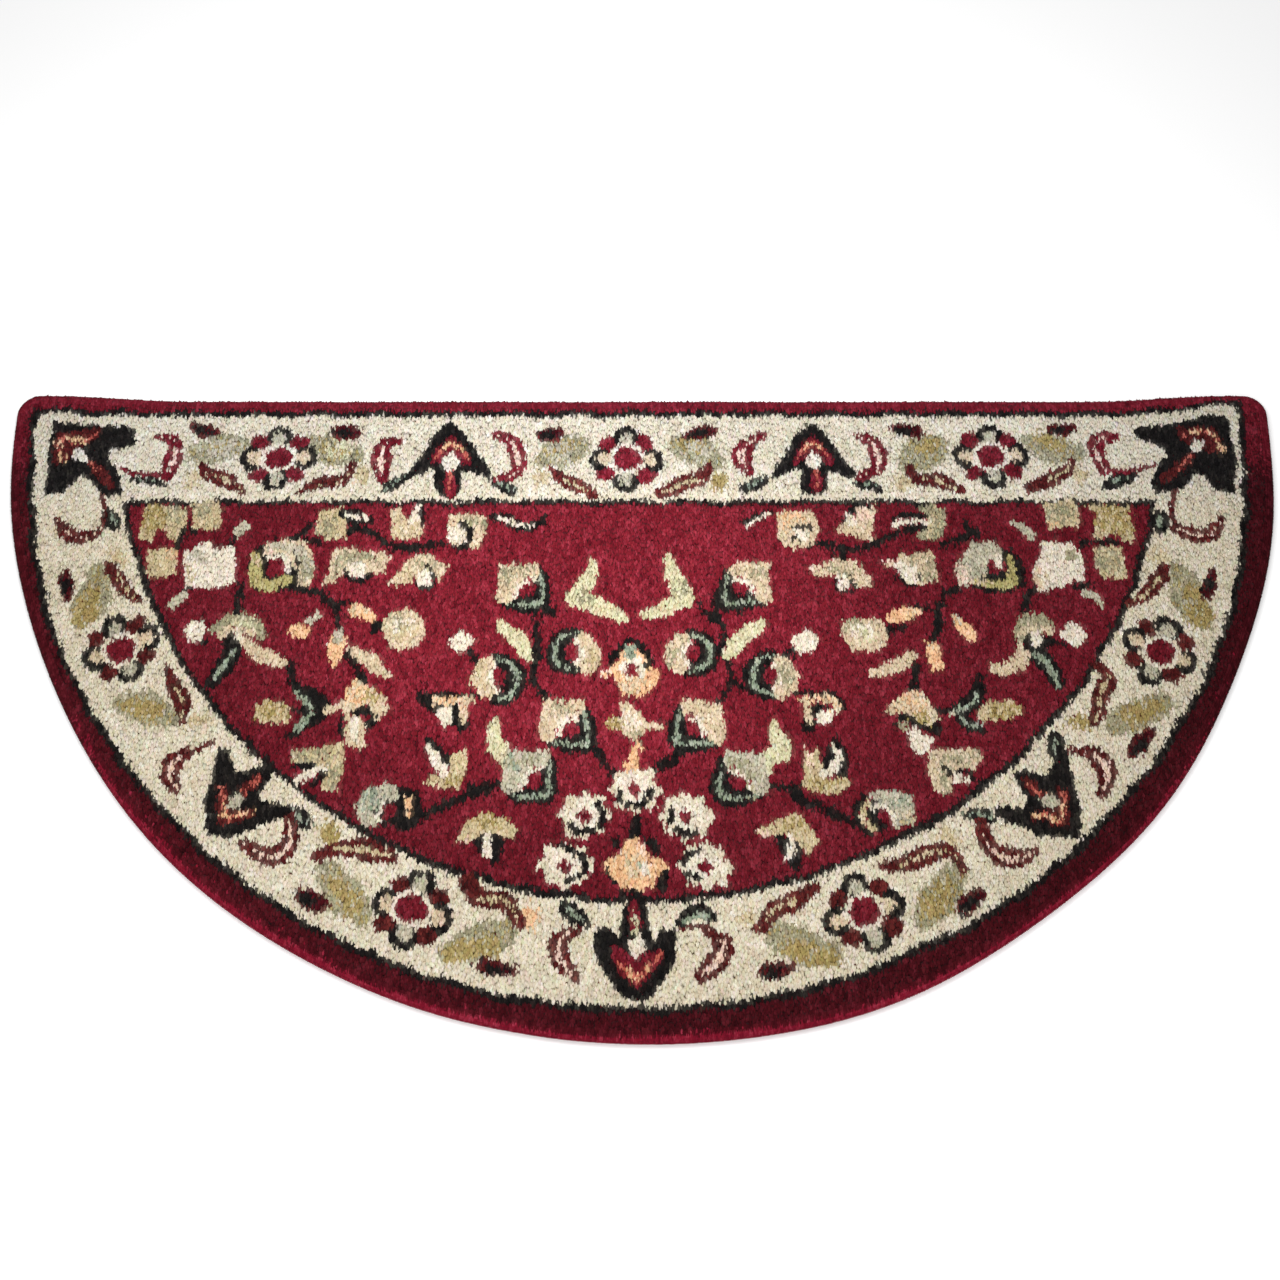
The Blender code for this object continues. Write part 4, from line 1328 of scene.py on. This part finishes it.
def buildPile(name, tips, aims, colours, material):
    # each yarn end is a small cone with a closed foot
    count, sides = len(tips), pile["sides"]
    points = conePoints(tips, aims)
    side = np.arange(sides)
    sideFaces = np.stack([side, (side + 1) % sides, np.full(sides, sides)], 1)
    pattern = np.concatenate([sideFaces.ravel(), side[::-1]])
    loops = (np.arange(count)[:, None] * (sides + 1) + pattern).ravel()
    sizes = np.tile([3] * sides + [sides], count)
    starts = np.concatenate([[0], np.cumsum(sizes)[:-1]])
    mesh = bpy.data.meshes.new(name)
    mesh.vertices.add(len(points))
    mesh.vertices.foreach_set("co", points.astype(np.float32).ravel())
    mesh.loops.add(len(loops))
    mesh.loops.foreach_set("vertex_index", loops.astype(np.int32))
    mesh.polygons.add(len(sizes))
    mesh.polygons.foreach_set("loop_start", starts.astype(np.int32))
    mesh.update(calc_edges=True)
    flatFeet = np.tile([False] * sides + [True], count)
    addAttribute(mesh, "sharp_face", "BOOLEAN", "FACE", "value", flatFeet)
    shades = np.concatenate([np.repeat(colours, sides + 1, 0), np.ones((len(points), 1))], 1)
    # dye carries each yarn end's colour with its painted shade
    addAttribute(mesh, "dye", "FLOAT_COLOR", "POINT", "color", shades.astype(np.float32).ravel())
    # rise runs from the foot up to the tip, for the painted shade down in the pile
    rises = np.tile([0.0] * sides + [1.0], count)
    addAttribute(mesh, "rise", "FLOAT", "POINT", "value", rises.astype(np.float32))
    layOutBake(mesh, count)
    return linkPiece(name, mesh, material)


def newMaterial(name, values):
    material = bpy.data.materials.new(name)
    material.use_nodes = True
    shader = material.node_tree.nodes["Principled BSDF"]
    for socket, value in values.items():
        shader.inputs[socket].default_value = value
    return material, shader


def addNode(material, kind, values):
    node = material.node_tree.nodes.new(kind)
    for socket, value in values.items():
        node.inputs[socket].default_value = value
    return node


def wire(material, source, output, target, socket):
    material.node_tree.links.new(source.outputs[output], target.inputs[socket])


woolForm = {
    "shader": {"Roughness": 0.95, "Specular IOR Level": 0.03, "Sheen Weight": 0.02, "Sheen Roughness": 0.6},
    "depth": {"From Min": 0.35, "To Min": 0.85},  # painted shade: a yarn end is a little darker down in the pile
    "fibre": {"Scale": 1400, "Detail": 2},
    "bump": {"Strength": 0.35, "Distance": 0.0004},
}


def woolMaterial(name):
    material, shader = newMaterial(name, woolForm["shader"])
    dyed = addNode(material, "ShaderNodeAttribute", {})
    dyed.attribute_name = "dye"
    rise = addNode(material, "ShaderNodeAttribute", {})
    rise.attribute_name = "rise"
    # painted shade down in the pile, from the foot to the tip
    depth = addNode(material, "ShaderNodeMapRange", woolForm["depth"])
    wire(material, rise, "Fac", depth, "Value")
    shade = addNode(material, "ShaderNodeMix", {})
    shade.data_type = "RGBA"
    shade.blend_type = "MULTIPLY"
    shade.inputs["Factor"].default_value = 1
    wire(material, dyed, "Color", shade, "A")
    wire(material, depth, "Result", shade, "B")
    wire(material, shade, "Result", shader, "Base Color")
    place = addNode(material, "ShaderNodeTexCoord", {})
    fibre = addNode(material, "ShaderNodeTexNoise", woolForm["fibre"])
    wire(material, place, "Object", fibre, "Vector")
    bump = addNode(material, "ShaderNodeBump", woolForm["bump"])
    wire(material, fibre, "Fac", bump, "Height")
    wire(material, bump, "Normal", shader, "Normal")
    return material


slabStep = 6.0  # mm between the points of its outline


def closedSlab(name, profile, material):
    # a flat slab with the rug's outline: profile gives how far inside the outline, and how high
    count = len(outlineRing(0, slabStep)[0])
    points = []
    for inset, height in profile:
        ring, _ = outlineRing(inset, slabStep)
        even = np.arange(count) * len(ring) / count
        wrapped = np.concatenate([ring, ring[:1]])
        spots = np.stack([np.interp(even, np.arange(len(ring) + 1), wrapped[:, k]) for k in (0, 1)], 1)
        points.append(placed(spots, np.full(count, height)))
    points = np.concatenate(points)
    faces = []
    for level in range(len(profile) - 1):
        low, high = level * count, (level + 1) * count
        for k in range(count):
            after = (k + 1) % count
            faces.append((low + after, low + k, high + k, high + after))
    faces.append(tuple(range(count)))
    faces.append(tuple(range(len(points) - 1, len(points) - 1 - count, -1)))
    mesh = bpy.data.meshes.new(name)
    mesh.from_pydata(points.tolist(), [], faces)
    mesh.update()
    return linkPiece(name, mesh, material)


cloth = {
    "profile": ((4.6, 0.0), (3.6, 0.5), (3.4, 1.4), (3.8, 2.2)),
    "thread": 1.6,  # mm between the threads of the cotton canvas
    "cotton": (202, 186, 156),
    "shadow": (150, 132, 104),
    "cottonFrom": 0.6,  # how high on the ribs the cotton is fully pale
    "shader": {"Roughness": 0.9, "Specular IOR Level": 0.2},
    "rib": {"Distortion": 0.6, "Detail": 1, "Detail Scale": 0.4},
    "bump": {"Strength": 0.6, "Distance": 0.0005},
}


def clothMaterial():
    # plain weave: two sets of ribs, each on top in every other square
    material, shader = newMaterial("cottonCanvas", cloth["shader"])
    thread = cloth["thread"] * mm
    place = addNode(material, "ShaderNodeTexCoord", {})
    squares = {"Scale": 1 / thread, "Color1": (1, 1, 1, 1), "Color2": (0, 0, 0, 1)}
    over = addNode(material, "ShaderNodeTexChecker", squares)
    wire(material, place, "Object", over, "Vector")
    weave = addNode(material, "ShaderNodeMix", {})
    weave.data_type = "FLOAT"
    wire(material, over, "Fac", weave, "Factor")
    for direction, socket in (("X", "A"), ("Y", "B")):
        rib = addNode(material, "ShaderNodeTexWave", cloth["rib"])
        rib.bands_direction = direction
        rib.inputs["Scale"].default_value = math.pi / 10 / thread  # one rib to each thread
        wire(material, place, "Object", rib, "Vector")
        wire(material, rib, "Fac", weave, socket)
    ramp = addNode(material, "ShaderNodeValToRGB", {})
    shadow, cotton = ramp.color_ramp.elements
    shadow.color = (*linear(cloth["shadow"]), 1)
    cotton.color = (*linear(cloth["cotton"]), 1)
    cotton.position = cloth["cottonFrom"]
    wire(material, weave, "Result", ramp, "Fac")
    wire(material, ramp, "Color", shader, "Base Color")
    bump = addNode(material, "ShaderNodeBump", cloth["bump"])
    wire(material, weave, "Result", bump, "Height")
    wire(material, bump, "Normal", shader, "Normal")
    return material


# painted shade: the bed of the pile is a darker crimson than the yarn, for the gaps between the yarn ends
shadedBedColour = (92, 12, 28)
bedShader = {"Base Color": (*linear(shadedBedColour), 1), "Roughness": 0.95, "Specular IOR Level": 0.1}

base = closedSlab("groundCloth", cloth["profile"], clothMaterial())
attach(base, "root")
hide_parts("rug")
bed = closedSlab("pileBed", pile["bedProfile"], newMaterial("pileBed", bedShader)[0])
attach(bed, "root")
print("ground cloth and bed of the pile made")

tips, aims = yarnEnds()
roots = tips[:, :2] - aims[:, :2] * pile["length"]
roots[:, 1] -= pile["lean"] * pile["length"]
startChart(roots)
drawBorder(tips[:, 2])
drawField()
colours = dyeAndPaintedShade(roots, tips[:, 2])
print("pattern charted on", len(tips), "yarn ends")

finishes = [yarns[name][3] for name in yarnNames]
for finish in dict.fromkeys(finishes):
    mine = np.flatnonzero(np.array([row == finish for row in finishes])[chart["yarn"]])
    mine = mine[np.argsort(tips[mine, 0], kind="stable")]
    wool = woolMaterial(finish.split("_")[0] + "Wool")
    parts = math.ceil(len(mine) / pile["mostInPiece"])
    for number, pick in enumerate(np.array_split(mine, parts), 1):
        name = finish.split("_")[0] + "Pile" + str(number)
        obj = buildPile(name, tips[pick], aims[pick], colours[pick], wool)
        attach(obj, "root")
        print(name, len(pick), "yarn ends")

studio = {
    "elevation": math.radians(69),
    "distance": 1.1588,
    "aim": (-1.97, -231.0),  # mm on the rug
    "lens": 39.07,
    "sensor": 36,
    "floorSize": 12.0,
    "floorCuts": 4,
    "floorDrop": 0.0004,  # so that floor and cloth never share a plane
    "floorShader": {
        "Base Color": (0.88, 0.88, 0.88, 1),
        "Roughness": 0.9,
        # the floor of the photo is white all over, though the light falls off on the rug
        "Emission Color": (1, 1, 1, 1),
        "Emission Strength": 0.35,
    },
    "air": 0.38,  # soft light from all round
    "lamps": (
        {"name": "overhead", "at": (-0.06, 0.1, 0.74), "size": 0.5, "power": 6.1, "aimed": False},
        {"name": "front", "at": (-0.3, -2.4, 1.6), "size": 1.6, "power": 20, "aimed": True},
    ),
}


def layFloor():
    cuts = studio["floorCuts"]
    bpy.ops.mesh.primitive_grid_add(x_subdivisions=cuts, y_subdivisions=cuts, size=studio["floorSize"])
    floor = bpy.context.object
    floor.name = "floor"
    floor.location.z = -studio["floorDrop"]
    paint, _ = newMaterial("floorPaint", studio["floorShader"])
    floor.data.materials.append(paint)


def hangLamp(name, at, size, power, aimed):
    data = bpy.data.lights.new(name, "AREA")
    data.size = size
    data.energy = power
    lamp = bpy.data.objects.new(name, data)
    lamp.location = at
    lamp.visible_camera = False
    if aimed:
        lamp.rotation_euler = (-lamp.location).to_track_quat("-Z", "Y").to_euler()
    bpy.context.scene.collection.objects.link(lamp)


def buildStudio():
    scene = bpy.context.scene
    layFloor()
    world = bpy.data.worlds.new("studioAir")
    world.use_nodes = True
    world.node_tree.nodes["Background"].inputs["Color"].default_value = (1, 1, 1, 1)
    world.node_tree.nodes["Background"].inputs["Strength"].default_value = studio["air"]
    scene.world = world
    for row in studio["lamps"]:
        hangLamp(**row)
    cameraData = bpy.data.cameras.new("photoAngle")
    cameraData.lens = studio["lens"]
    cameraData.sensor_width = studio["sensor"]
    camera = bpy.data.objects.new("photoAngle", cameraData)
    aim = placed(np.array([studio["aim"]]), np.array([rugForm["pileTop"]]))[0]
    back = studio["distance"] * math.cos(studio["elevation"])
    up = studio["distance"] * math.sin(studio["elevation"])
    camera.location = (aim[0], aim[1] - back, aim[2] + up)
    camera.rotation_euler = (math.pi / 2 - studio["elevation"], 0, 0)
    scene.collection.objects.link(camera)
    scene.camera = camera
    scene.view_settings.view_transform = "Standard"


buildStudio()
print("studio set")
